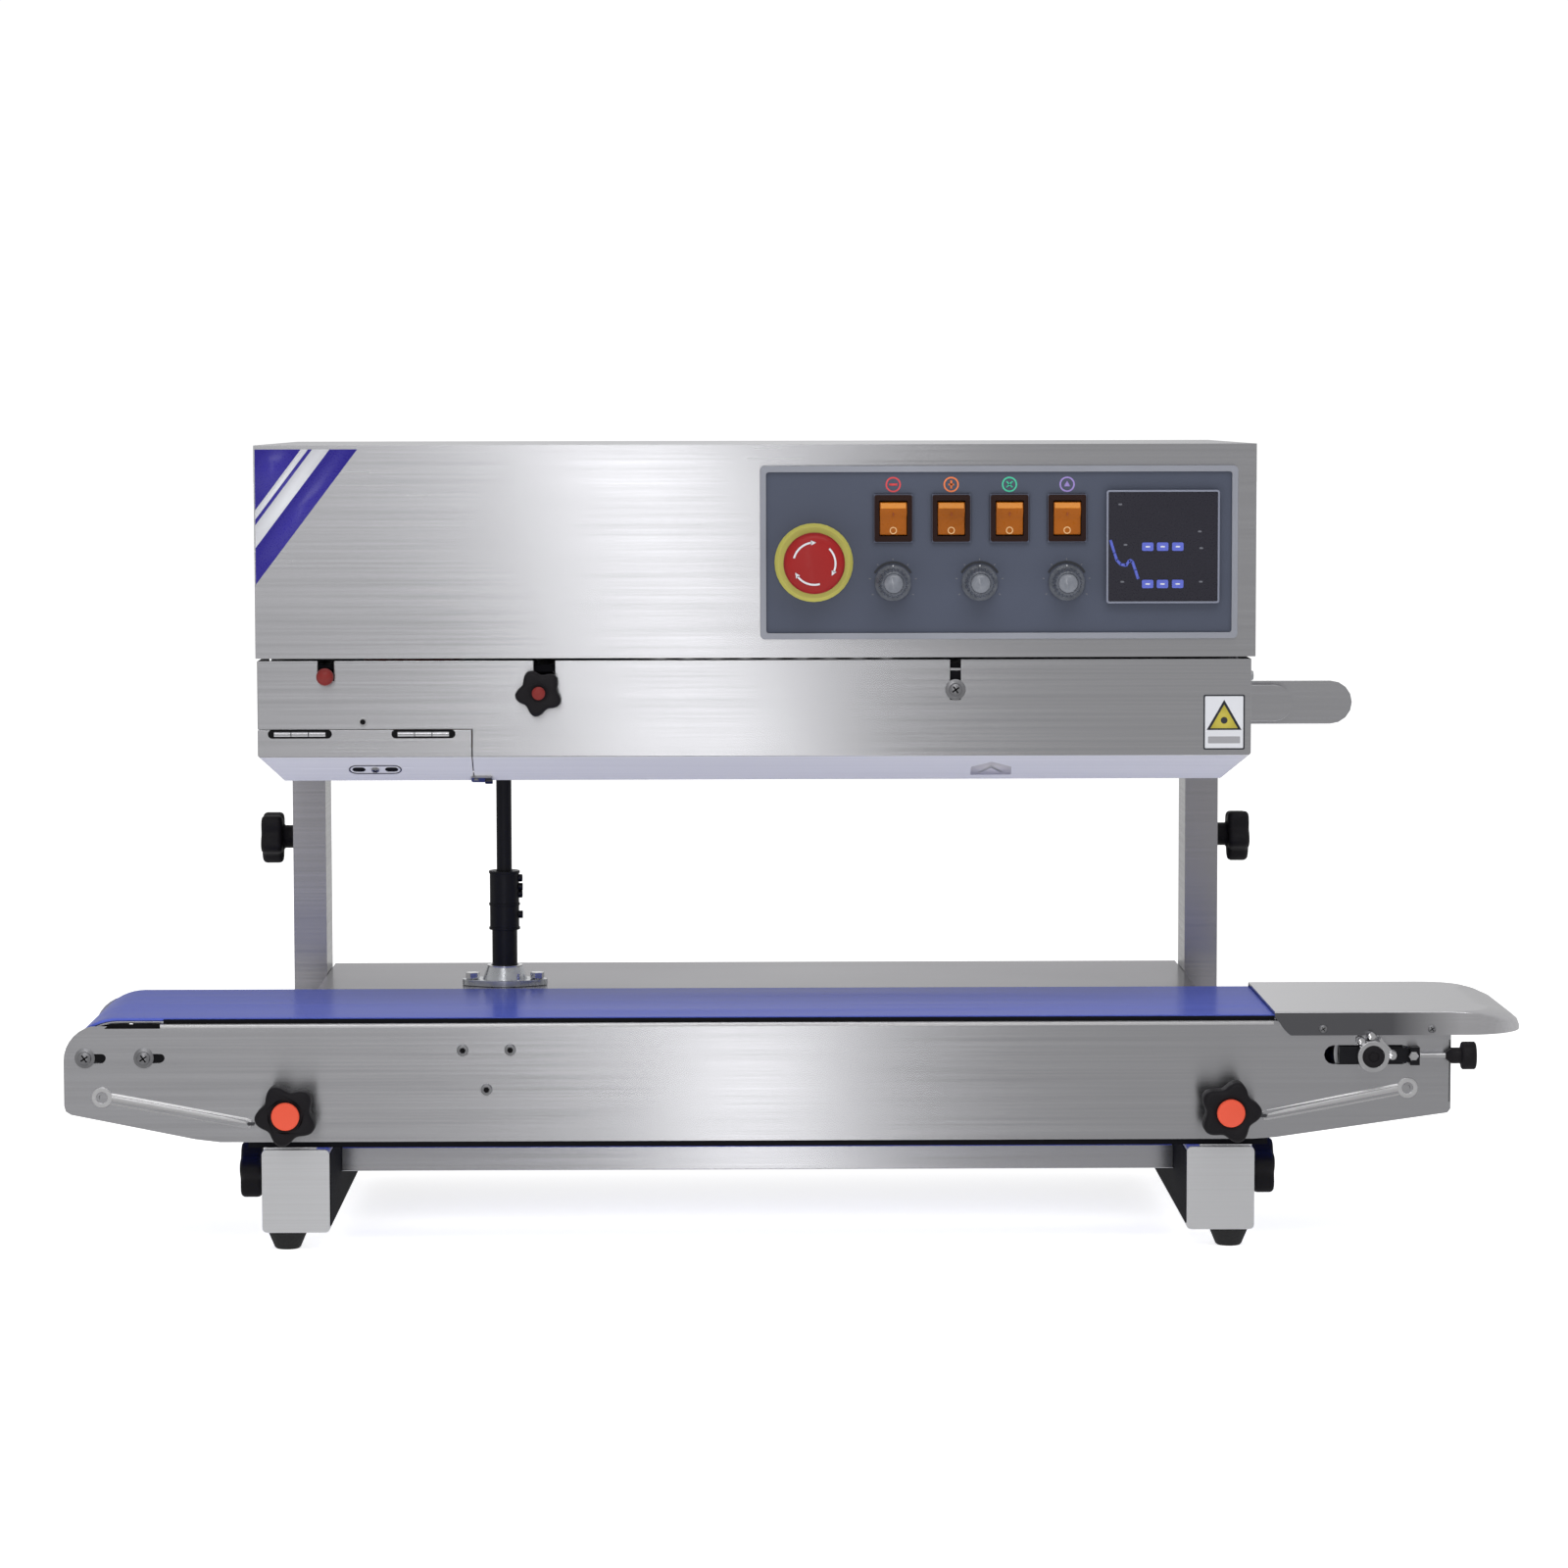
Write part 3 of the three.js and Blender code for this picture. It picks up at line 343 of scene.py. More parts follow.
def belt_material():
    """Smooth coated belt: a fine cloth telegraphs through, and dust dulls it in long patches."""
    s = Shader("belt_blue")
    s.set(IOR=1.05)
    weave = s.noise(1.0, 2.0, (1400, 1400, 1400))
    streak = s.noise(1.0, 4.0, (2.5, 60, 10))
    blue, pale = (0.085, 0.12, 0.52), (0.1, 0.138, 0.57)
    s.link(s.blend(s.remap(streak, 0, 1), blue, pale), s.bsdf.inputs["Base Color"])
    s.link(s.remap(streak, 0.16, 0.26), s.bsdf.inputs["Roughness"])
    return s.bump(weave, 0.04, 0.00005).material


# The main stainless: its downward faces, such as the cover's skirt, turn less metallic as painted light.
STEEL = brushed_steel("stainless", (0.62, 0.62, 0.645), underside=0.25)
# Darker copies of the stainless, painted shade: the posts, with near-black end faces, and the rear box.
STEEL_POST_SHADE = brushed_steel("stainless_post_painted_shade", (0.5, 0.49, 0.515), ends=(0.1, 0.098, 0.104))
STEEL_BOX_SHADE = brushed_steel("stainless_box_painted_shade", (0.365, 0.36, 0.38))
# A brighter copy of the stainless, painted light for the legs' lit fronts; downward faces turn less metallic.
STEEL_LEG_LIT = brushed_steel("stainless_leg_painted_light", (0.94, 0.945, 0.97), 0.42, 0.3, underside=0.3)
# The tray: a brighter copy of the stainless, painted light on its top, with a painted dark reflection on its
# upright flange that fades out towards the nose.
STEEL_TRAY_LIT_AND_SHADED = brushed_steel(
    "stainless_tray_painted_light_and_shade", (0.8, 0.795, 0.82), 0.2, 0.5, (0.2, 0.2, 0.215), fade=(0.385, 0.43),
)
# A darker copy of the stainless, painted shade for the bend at the conveyor plate's right end.
STEEL_EDGE_SHADE = brushed_steel("stainless_edge_painted_shade", (0.3, 0.3, 0.31))
ZINC = metal("zinc_plate", (0.72, 0.74, 0.77), 0.28)
CHROME = metal("chrome_bright", (0.8, 0.8, 0.82), 0.14, 0.04)
ALUMINIUM = metal("turned_aluminium", (0.62, 0.63, 0.66), 0.35)
BRASS = metal("machined_brass", (0.72, 0.55, 0.28), 0.32)
BLACK_STEEL = metal("blackened_steel", (0.035, 0.035, 0.04), 0.42)
BLACK_PLASTIC = plastic("black_plastic", (0.008, 0.007, 0.009), 0.5, 0.16, shine=0.22)
RUBBER = plastic("black_rubber", (0.01, 0.01, 0.011), 0.72, 0.3, 600.0)
BELT = belt_material()
PANEL = plastic("panel_overlay", (0.062, 0.073, 0.11), 0.46, 0.1, 1600.0, variation=0.1, shine=0.4)
PANEL_RIM = plastic("panel_rim", (0.25, 0.26, 0.3), 0.35, 0.08)
RED = plastic("signal_red", (0.3, 0.012, 0.012), 0.36, 0.03, coat=0.05, shine=0.25)
CAP_RED = plastic("cap_orange_red", (0.76, 0.085, 0.038), 0.38, 0.05, shine=0.4)
DULL_RED = plastic("dull_red", (0.2, 0.02, 0.018), 0.35, 0.06, shine=0.3)
YELLOW = plastic("signal_yellow", (0.46, 0.43, 0.1), 0.4, 0.06, shine=0.3)
AMBER = plastic("amber_clear", (0.34, 0.09, 0.003), 0.3, 0.02, 300.0, coat=0.05, variation=0.25, shine=0.2)
# Lighter amber: a painted highlight band along the top of each rocker key.
AMBER_HIGHLIGHT = plastic("amber_painted_highlight", (0.62, 0.22, 0.02), 0.3, 0.02, 300.0, shine=0.3)
SMOKE = translucent("smoke_clear", (0.105, 0.115, 0.14), (0.065, 0.072, 0.09), 0.2, 0.12)
# A brighter copy of the stainless, painted highlight on the ribs, their end rings and the plate's fold.
STEEL_HIGHLIGHT = brushed_steel("stainless_painted_highlight", (0.85, 0.845, 0.86), 0.36, 0.2)
DARK_STEEL = metal("dark_steel", (0.12, 0.12, 0.13), 0.35)
# Near-black film: painted shade in holes, slots, recesses and gaps.
GAP_SHADE = plastic("painted_gap_shade", (0.004, 0.004, 0.005), 0.7, 0.02, shine=0.15)
# A near-black bezel whose brown tint is a painted reflection of the amber keys.
BEZEL_BLACK_AMBER_REFLECTION = plastic("bezel_black_painted_amber_reflection", (0.022, 0.009, 0.007), 0.58, 0.04, shine=0.15)
AMBER_PALE = plastic("amber_pale", (0.75, 0.45, 0.2), 0.4, 0.02)
AMBER_DEEP = plastic("amber_deep", (0.3, 0.06, 0.01), 0.4, 0.02)
SMOKE_PALE = translucent("smoke_pale", (0.215, 0.228, 0.26), (0.15, 0.162, 0.19), 0.14, 0.1)
HARDWARE = metal("hardware_steel", (0.42, 0.42, 0.44), 0.34, 0.06)
# Near-black matte: black paint in places, painted shade behind slots and along edges in others.
BLACK_PAINT_AND_SHADE = plastic("black_paint_and_painted_shade", (0.006, 0.006, 0.008), 0.7, 0.1, shine=0.06)
INK_DIM = plastic("ink_dim", (0.14, 0.145, 0.17), 0.4, 0.02)
INK_PALE = plastic("ink_pale", (0.4, 0.39, 0.45), 0.45, 0.02)
CASE_GREY = plastic("instrument_grey", (0.2, 0.215, 0.28), 0.4, 0.08)
SCREEN = plastic("instrument_face", (0.018, 0.017, 0.026), 0.3, 0.01, coat=0.1, shine=0.3)
INK_WHITE = printed("ink_white", (0.62, 0.63, 0.67))
INK_BLUE = printed("ink_blue", (0.028, 0.02, 0.26), 0.3)
KEY_BLUE = printed("key_blue", (0.09, 0.12, 0.52))
INK_DARK = printed("ink_dark", (0.02, 0.022, 0.03))
INK_RED = printed("ink_red", (0.6, 0.05, 0.06))
INK_ORANGE = printed("ink_orange", (0.75, 0.18, 0.05))
INK_GREEN = printed("ink_green", (0.05, 0.5, 0.3))
INK_VIOLET = printed("ink_violet", (0.3, 0.22, 0.55))
INK_GREY = printed("ink_grey", (0.3, 0.3, 0.32))
INK_YELLOW = printed("ink_yellow", (0.5, 0.42, 0.05))
SILICONE = plastic("silicone_tyre", (0.42, 0.08, 0.05), 0.6, 0.2)
BAND = plastic("band_cloth", (0.3, 0.15, 0.06), 0.5, 0.25, 1200.0)

# ---------- CAD nodes: finish and edges


def finish_node(node, material, bevel=0.4, segments=2, angle=30):
    """Gives a CAD node its material, joins its flat triangles into faces and rounds its edges."""
    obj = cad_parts[node]
    obj.data.materials.clear()
    obj.data.materials.append(material)
    for polygon in obj.data.polygons:
        polygon.use_smooth = True
    weld = obj.modifiers.new("weld", "WELD")
    weld.merge_threshold = 0.00001
    flatten = obj.modifiers.new("flatten", "DECIMATE")
    flatten.decimate_type = "DISSOLVE"
    flatten.angle_limit = math.radians(0.5)
    if bevel:
        edge = obj.modifiers.new("edge", "BEVEL")
        edge.width = bevel * MM
        edge.segments = segments
        edge.limit_method = "ANGLE"
        edge.angle_limit = math.radians(angle)
    normals = obj.modifiers.new("normals", "WEIGHTED_NORMAL")
    normals.weight = 100
    normals.keep_sharp = True


SIDES = (("left", -1), ("right", 1))
for name in ("conveyor_front_plate", "conveyor_rear_plate", "slider_bed", "head_frame", "infeed_guide"):
    finish_node(name, STEEL, 0.45)
finish_node("upper_housing", STEEL, 1.6, 4)
for name in ("front_cover", "rear_cover"):
    finish_node(name, STEEL, 0.6, 3)
finish_node("rear_box", STEEL_BOX_SHADE, 0.6, 3)
for side, _ in SIDES:
    finish_node(f"leg_{side}", STEEL_LEG_LIT, 0.5)
    finish_node(f"post_tube_{side}", STEEL_POST_SHADE, 0.7, 3)
finish_node("access_flap", STEEL, 0.35)
finish_node("base_crossbar", STEEL, 0.7, 3)
finish_node("infeed_tray", STEEL_TRAY_LIT_AND_SHADED, 0.3, 2, 40)
finish_node("conveyor_belt", BELT, 0.35, 2, 40)
finish_node("control_panel", PANEL, 0.3)
finish_node("temperature_controller", CASE_GREY, 0.5, 3)
finish_node("estop_collar", YELLOW, 0.5, 2)
finish_node("tension_block", BLACK_STEEL, 0.4)
finish_node("drive_motor", BLACK_STEEL, 0.8)
for end in ("nose", "return", "tail"):
    finish_node(f"{end}_roller", ALUMINIUM, 0.5)
finish_node("drive_roller", RUBBER, 0.3)
for end in ("front", "rear"):
    finish_node(f"drive_wheel_{end}", SILICONE, 0.3)
    finish_node(f"idler_wheel_{end}", SILICONE, 0.3)
    finish_node(f"seal_band_{end}", BAND, 0)
    finish_node(f"heater_block_{end}", BRASS, 0.5)
    finish_node(f"cooling_block_{end}", ALUMINIUM, 0.5)
for index in (1, 2, 3, 4):
    finish_node(f"rocker_{index}", AMBER, 0.5, 3)

# ---------- building pieces

RIGHT, BACK, UP = Vector((1, 0, 0)), Vector((0, 1, 0)), Vector((0, 0, 1))
OUTWARD = {
    "front": (RIGHT, UP, -BACK),
    "back": (-RIGHT, UP, BACK),
    "left": (-BACK, UP, -RIGHT),
    "right": (BACK, UP, RIGHT),
    "up": (RIGHT, BACK, UP),
}


def skirt_facing():
    """Axes on the cover's slanted skirt: along it, up its slope, and out of it."""
    run, drop = 23.0, 16.8
    length = math.hypot(run, drop)
    up = Vector((0, -run / length, drop / length))
    return RIGHT, up, RIGHT.cross(up)


OUTWARD["skirt"] = skirt_facing()


def place(mesh_name, verts, faces, material, body, bevel=0.0, segments=2, angle=30):
    """Makes a piece from machine-millimetre points and puts it on a body."""
    mesh = bpy.data.meshes.new(mesh_name)
    mesh.from_pydata([at(*v) for v in verts], [], faces)
    mesh.materials.append(material)
    shape = bmesh.new()
    shape.from_mesh(mesh)
    bmesh.ops.remove_doubles(shape, verts=shape.verts, dist=1e-7)
    bmesh.ops.recalc_face_normals(shape, faces=shape.faces)
    limit = math.radians(angle)
    for edge in shape.edges:
        edge.smooth = len(edge.link_faces) == 2 and edge.calc_face_angle(0) < limit
    shape.to_mesh(mesh)
    shape.free()
    for polygon in mesh.polygons:
        polygon.use_smooth = True
    obj = bpy.data.objects.new(mesh_name, mesh)
    bpy.context.collection.objects.link(obj)
    if bevel:
        rounding = obj.modifiers.new("edge", "BEVEL")
        rounding.width = bevel * MM
        rounding.segments = segments
        rounding.limit_method = "ANGLE"
        rounding.angle_limit = limit
        rounding.harden_normals = True
    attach(obj, body)
    return obj


def rings_to_faces(count, ring):
    """Faces between rings of equal length, with a cap at each end."""
    faces = [tuple(reversed(range(ring)))]
    for level in range(count - 1):
        base = level * ring
        for i in range(ring):
            j = (i + 1) % ring
            faces.append((base + i, base + j, base + ring + j, base + ring + i))
    faces.append(tuple(range((count - 1) * ring, count * ring)))
    return faces


def stack(name, centre, facing, layers, material, body, **kwargs):
    """Rings stacked outwards: each layer is (outline in two axes, height)."""
    across, up, out = OUTWARD[facing]
    origin = Vector(centre)
    verts = [origin + across * u + up * v + out * h for outline, h in layers for u, v in outline]
    return place(name, verts, rings_to_faces(len(layers), len(layers[0][0])), material, body, **kwargs)


def polar(radius, angle):
    return (radius * math.cos(angle), radius * math.sin(angle))


def circle(radius, count=48, turn=0.0):
    return [polar(radius, turn + 2 * math.pi * i / count) for i in range(count)]


def turned(name, centre, facing, profile, material, body, count=48, **kwargs):
    """A turned piece: profile is a list of (radius, height)."""
    layers = [(circle(max(r, 0.01), count), h) for r, h in profile]
    return stack(name, centre, facing, layers, material, body, angle=kwargs.pop("angle", 40), **kwargs)


def slab(name, centre, facing, outline, low, high, material, body, bevel=0.3, **kwargs):
    """A flat piece: an outline with thickness and rounded edges."""
    layers = [(outline, low), (outline, high)]
    return stack(name, centre, facing, layers, material, body, bevel=bevel, **kwargs)


def box_outline(width, height, radius=0.0, steps=5):
    half_w, half_h = width / 2, height / 2
    if radius <= 0:
        return [(-half_w, -half_h), (half_w, -half_h), (half_w, half_h), (-half_w, half_h)]
    points = []
    for cx, cy, start in ((1, -1, -90), (1, 1, 0), (-1, 1, 90), (-1, -1, 180)):
        for i in range(steps + 1):
            a = math.radians(start + 90 * i / steps)
            u, v = polar(radius, a)
            points.append((cx * (half_w - radius) + u, cy * (half_h - radius) + v))
    return points


def frame_piece(name, centre, facing, outer, inner, low, high, material, body, bevel=0.3, crown=0.0):
    """A closed frame between two outlines of equal point count."""
    across, up, out = OUTWARD[facing]
    origin, count = Vector(centre), len(outer)
    loops = [(outer, low), (outer, high - crown), (inner, high), (inner, low)]
    verts = [origin + across * u + up * v + out * h for loop, h in loops for u, v in loop]
    faces = []
    for level in range(4):
        base, above = level * count, ((level + 1) % 4) * count
        for i in range(count):
            j = (i + 1) % count
            faces.append((base + i, base + j, above + j, above + i))
    return place(name, verts, faces, material, body, bevel=bevel)


def sector(inner, outer, start, end, steps=24):
    """An arc-shaped outline, angles in degrees anticlockwise from across."""
    far = [math.radians(start + (end - start) * i / steps) for i in range(steps + 1)]
    return [polar(outer, a) for a in far] + [polar(inner, a) for a in reversed(far)]


def ring_piece(name, centre, facing, inner, outer, low, high, material, body, bevel=0.0):
    rims = circle(outer, 40), circle(inner, 40)
    return frame_piece(name, centre, facing, *rims, low, high, material, body, bevel)


def lobes(radius, turn, inset, count=120, depth=0.24):
    """Five-lobed knob outline: rounded lobes, and shallow valleys between them."""
    points = []
    for i in range(count):
        a = 2 * math.pi * i / count
        swell = ((1 + math.cos(5 * a)) / 2) ** 0.95
        reach = radius * (1 - depth + depth * swell) - inset
        points.append(polar(reach, a + math.radians(turn)))
    return points


def star_knob(node, centre, facing, radius, turn, neck, low, high, cap=None, cap_radius=9.0):
    """Clamping knob: a turned neck, a lobed head with rounded edges, and sometimes a coloured cap."""
    soft = 3.2
    layers = [(circle(neck, 120), 0.0), (circle(neck, 120), low - 1.5), (circle(neck + 1.5, 120), low)]
    quarter = [math.radians(22.5 * k) for k in range(5)]
    for a in quarter:
        layers.append((lobes(radius, turn, soft * (1 - math.sin(a))), low + soft * (1 - math.cos(a))))
    for a in quarter:
        layers.append((lobes(radius, turn, soft * (1 - math.cos(a))), high - soft * (1 - math.sin(a))))
    layers.append((circle(cap_radius + 2.2, 120), high))
    layers.append((circle(cap_radius + 1.2, 120), high - 0.8))
    knob = stack(f"{node}_head", centre, facing, layers, BLACK_PLASTIC, node, angle=50)
    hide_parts(node)
    if cap:
        profile = [(cap_radius, high - 1.6), (cap_radius, high + 0.3), (cap_radius - 0.6, high + 1.0)]
        profile += [(cap_radius * 0.6, high + 1.35), (0, high + 1.45)]
        turned(f"{node}_head_cap", centre, facing, profile, cap, node)


# ---------- clamping knobs

for side, sign in SIDES:
    lobed_turn = 44 if sign < 0 else 1
    front_at, leg_at, post_at = (303 * sign, -1.2, 92), (322.0 * sign, 85, 39), (322.3 * sign, 266, 245)
    star_knob(f"front_knob_{side}", front_at, "front", 20.2, lobed_turn, 8, 11.8, 29.8, CAP_RED)
    star_knob(f"leg_knob_{side}", leg_at, side, 19.2, 15, 8, 6.8, 21.0, None, 7.0)
    star_knob(f"post_knob_{side}", post_at, side, 18.6, 50, 8, 8.0, 22.6, None, 7.0)
PRESSURE_AT = (-139.5, -9, 362.7)
star_knob("pressure_knob", PRESSURE_AT, "front", 15.2, 45, 6, 6, 19, DULL_RED, 4.2)
turned("pressure_stem", PRESSURE_AT, "front", [(3, -40), (3, 0.5)], BLACK_STEEL, "pressure_knob")

# ---------- feet, shafts, bearing

FOOT = [(0, 0.6), (3, 0.6), (3.4, 0), (7.6, 0), (8.5, 0.8), (12.2, 9.6), (12.7, 10.6), (12.3, 11.7)]
for end in ("front", "rear"):
    for side, _ in SIDES:
        node = f"foot_{end}_{side}"
        low, high = span(node)
        centre = ((low.x + high.x) / 2, (low.y + high.y) / 2, 0)
        foot = turned(f"{node}_pad", centre, "up", FOOT, RUBBER, "base")
        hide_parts(node)

shaft_low, shaft_high = span("upper_drive_shaft")
SHAFT_X = (shaft_low.x + shaft_high.x) / 2
SHAFT_Y = (shaft_low.y + shaft_high.y) / 2
finish_node("upper_drive_shaft", BLACK_STEEL, 0.2)
finish_node("lower_drive_shaft", BLACK_STEEL, 0.5, 3, 35)
finish_node("shaft_bearing", ZINC, 0.8, 3, 35)
for index, height in enumerate((207, 190.5, 229)):
    ring_piece(
        f"sleeve_ring_{index}", (SHAFT_X, SHAFT_Y, height), "up", 9.2, 10.6, -1.6, 0.2,
        BLACK_STEEL, "lower_drive_shaft", 0.3,
    )
set_screw = [(2.6, 0), (2.6, 2.6), (2.1, 3.2), (1.3, 3.2), (1.2, 2.0), (0, 2.0)]
for index, height in enumerate((224, 213, 199)):
    spot = (SHAFT_X + 9.2, SHAFT_Y, height)
    turned(f"sleeve_screw_{index}", spot, "right", set_screw, BLACK_STEEL, "lower_drive_shaft")

# ---------- fasteners


def hex_outline(across, turn=0.0):
    return circle(across / math.sqrt(3), 6, math.radians(turn))


def pan_screw(name, centre, facing, radius, body, washer=0.0, cross=True):
    """A pan-head screw with a cross recess drawn as near-black films of painted shade, on a washer where one
    is given.
    """
    base = 0.0
    if washer:
        disc = [(0, 0), (washer - 0.2, 0), (washer, 0.25), (washer, 0.7), (washer - 0.3, 0.95), (0, 0.95)]
        turned(f"{name}_washer", centre, facing, disc, HARDWARE, body)
        base = 0.95
    rise = radius * 0.62
    dome = [(0, base), (radius, base), (radius, base + rise * 0.35)]
    dome += [
        (radius * math.cos(math.radians(a)), base + rise * (0.35 + 0.65 * math.sin(math.radians(a))))
        for a in (20, 40, 60, 75)
    ]
    dome += [(0, base + rise)]
    turned(f"{name}_head", centre, facing, dome, HARDWARE, body, count=32)
    if cross:
        for index, turn in enumerate((35, 125)):
            across = math.radians(turn)
            arm = [(radius * 0.62, -radius * 0.11), (radius * 0.62, radius * 0.11)]
            arm += [(-radius * 0.62, radius * 0.11), (-radius * 0.62, -radius * 0.11)]
            outline = [
                (u * math.cos(across) - v * math.sin(across), u * math.sin(across) + v * math.cos(across))
                for u, v in arm
            ]
            top = base + rise
            slab(f"{name}_slot_{index}", centre, facing, outline, top - 0.3, top + 0.06, GAP_SHADE, body, 0)


def socket_screw(name, centre, facing, radius, body):
    """A socket-cap screw: a rounded head around a six-sided socket filled with a near-black film of painted
    shade.
    """
    profile = [(0, 0), (radius, 0), (radius, 1.2), (radius - 0.4, 1.9)]
    profile += [(radius * 0.62, 2.0), (radius * 0.56, 1.7), (0, 1.7)]
    turned(f"{name}_head", centre, facing, profile, HARDWARE, body, count=32)
    slab(f"{name}_socket", centre, facing, hex_outline(radius * 0.92, 10), 1.5, 1.82, GAP_SHADE, body, 0)


def film(name, centre, facing, outline, material, body, low=0.0, thick=0.14):
    return slab(name, centre, facing, outline, low - 0.05, low + thick, material, body, 0)


def stadium(length, height, steps=12):
    half, radius = length / 2 - height / 2, height / 2
    right = [math.radians(-90 + 180 * i / steps) for i in range(steps + 1)]
    return [(half + radius * math.cos(a), radius * math.sin(a)) for a in right] + [
        (-half - radius * math.cos(a), -radius * math.sin(a)) for a in right
    ]


# ---------- control panel

panel_low, panel_high = span("control_panel")
PANEL_FACE = panel_low.y + 2.0
PANEL_X, PANEL_Z = (panel_low.x + panel_high.x) / 2, (panel_low.z + panel_high.z) / 2
PANEL_W, PANEL_H = panel_high.x - panel_low.x, panel_high.z - panel_low.z
frame_piece(
    "panel_rim_strip", (PANEL_X, PANEL_FACE, PANEL_Z), "front",
    box_outline(PANEL_W + 0.3, PANEL_H + 0.3, 3.2), box_outline(PANEL_W - 7.6, PANEL_H - 7.6, 1.8),
    0.25, 1.7, PANEL_RIM, "head", 0.3, 0.7,
)

ICON_RISE = 21.5
ICONS = (INK_RED, INK_ORANGE, INK_GREEN, INK_VIOLET)
GLYPHS = (
    [box_outline(5.2, 1.5)],
    [box_outline(1.3, 5.4), box_outline(3.6, 1.2)],
    [[(u * 0.7 - v * 0.7, u * 0.7 + v * 0.7) for u, v in box_outline(5.6, 1.0)],
     [(u * 0.7 + v * 0.7, v * 0.7 - u * 0.7) for u, v in box_outline(5.6, 1.0)]],
    [[(-2.1, -1.4), (2.1, -1.4), (0, 2.3)]],
)
TILT = math.radians(10)
ROCKER_PIVOT = 13.0
ROCKER_RISE = 76.9
ROCKER_PROFILE = [
    (9.5, -10.4), (15.6, -10.4), (16.1, -9.9), (14.5, -1.2), (14.35, 0.0), (14.6, 1.4),
    (16.3, 5.4), (16.2, 6.9), (13.6, 10.2), (12.8, 10.4), (9.5, 10.4),
]


def rocker_point(x, depth, rise, pivot_z):
    """A point on a rocker with its lower half pressed: depth is towards the viewer."""
    y = -depth + ROCKER_PIVOT
    return (
        x,
        -ROCKER_PIVOT + y * math.cos(TILT) - rise * math.sin(TILT),
        pivot_z + y * math.sin(TILT) + rise * math.cos(TILT),
    )


for index, (ink, glyph) in enumerate(zip(ICONS, GLYPHS), 1):
    node = f"rocker_{index}"
    low, high = span(node)
    x = (low.x + high.x) / 2
    z = panel_low.z + ROCKER_RISE
    ends = [
        [rocker_point(x + side * 8.6, depth, rise, z) for depth, rise in ROCKER_PROFILE] for side in (-1, 1)
    ]
    count = len(ROCKER_PROFILE)
    faces = [tuple(range(count)), tuple(reversed(range(count, 2 * count)))]
    faces += [(i, (i + 1) % count, count + (i + 1) % count, count + i) for i in range(count)]
    rocker = place(f"{node}_key", ends[0] + ends[1], faces, AMBER, node, 0.35, 3)
    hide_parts(node)
    # A painted highlight band along the top of each key.
    crown = [rocker_point(x + side * 8.0, depth, rise, z) for side, depth, rise in (
        (-1, 16.35, 7.15), (1, 16.35, 7.15), (1, 13.8, 10.2), (-1, 13.8, 10.2),
        (-1, 15.6, 6.6), (1, 15.6, 6.6), (1, 13.2, 9.6), (-1, 13.2, 9.6),
    )]
    sides = [(0, 1, 2, 3), (7, 6, 5, 4), (0, 4, 5, 1), (1, 5, 6, 2), (2, 6, 7, 3), (3, 7, 4, 0)]
    place(f"{node}_crown", crown, sides, AMBER_HIGHLIGHT, node, 0.15)
    mark = rocker_point(x, 15.5, -7.4, z)
    ring_piece(f"{node}_off_mark", mark, "front", 1.7, 2.3, 0, 0.4, AMBER_PALE, node)
    bar_at = rocker_point(x, 15.6, 3.4, z)
    slab(f"{node}_on_mark", bar_at, "front", box_outline(0.7, 3.0), 0, 0.55, AMBER_DEEP, node, 0)
    frame_piece(
        f"{node}_frame", (x, PANEL_FACE, z), "front", box_outline(25.4, 31.4, 1.6),
        box_outline(17.9, 22.5, 0.6), -2.8, 2.75, BEZEL_BLACK_AMBER_REFLECTION, "head", 0.3, 0.9,
    )
    # A near-black box behind each key is painted shade in the switch's opening.
    slab(f"{node}_body", (x, 0, z), "front", box_outline(18.8, 24.6), 0.5, 7.2, GAP_SHADE, "head", 0)
    icon = (x, PANEL_FACE, z + ICON_RISE)
    ring_piece(f"icon_ring_{index}", icon, "front", 3.9, 4.9, -0.05, 0.14, ink, "head")
    for part, outline in enumerate(glyph):
        film(f"icon_glyph_{index}_{part}", icon, "front", outline, ink, "head")

# ---------- dials

DIAL_DOME = [(0, 27.6), (6.1, 27.6), (6.1, 28.7), (5.6, 29.5), (4.4, 30.3), (2.8, 30.8)]
DIAL_DOME += [(1.2, 31.0), (0, 31.05)]
DIAL_BASE = -PANEL_FACE + 0.3
DIAL_SKIRT = [(3, -6), (3, DIAL_BASE), (11.0, DIAL_BASE), (11.6, DIAL_BASE + 0.6), (11.6, DIAL_BASE + 2.2)]
DIAL_SKIRT += [(11.0, DIAL_BASE + 3.0), (9.8, DIAL_BASE + 3.5)]
DIAL_CROWN = [(7.6, 28.6), (6.6, 29.0), (6.2, 28.7), (0.02, 28.7)]
DIAL_POINTS = 160
FLUTES, FLUTE_DEPTH = 20, 0.5


def fluted(radius):
    """A dial grip's outline, with shallow flutes all round."""
    points = []
    for i in range(DIAL_POINTS):
        angle = 2 * math.pi * i / DIAL_POINTS
        reach = radius - FLUTE_DEPTH * (0.5 - 0.5 * math.cos(FLUTES * angle))
        points.append(polar(reach, angle))
    return points


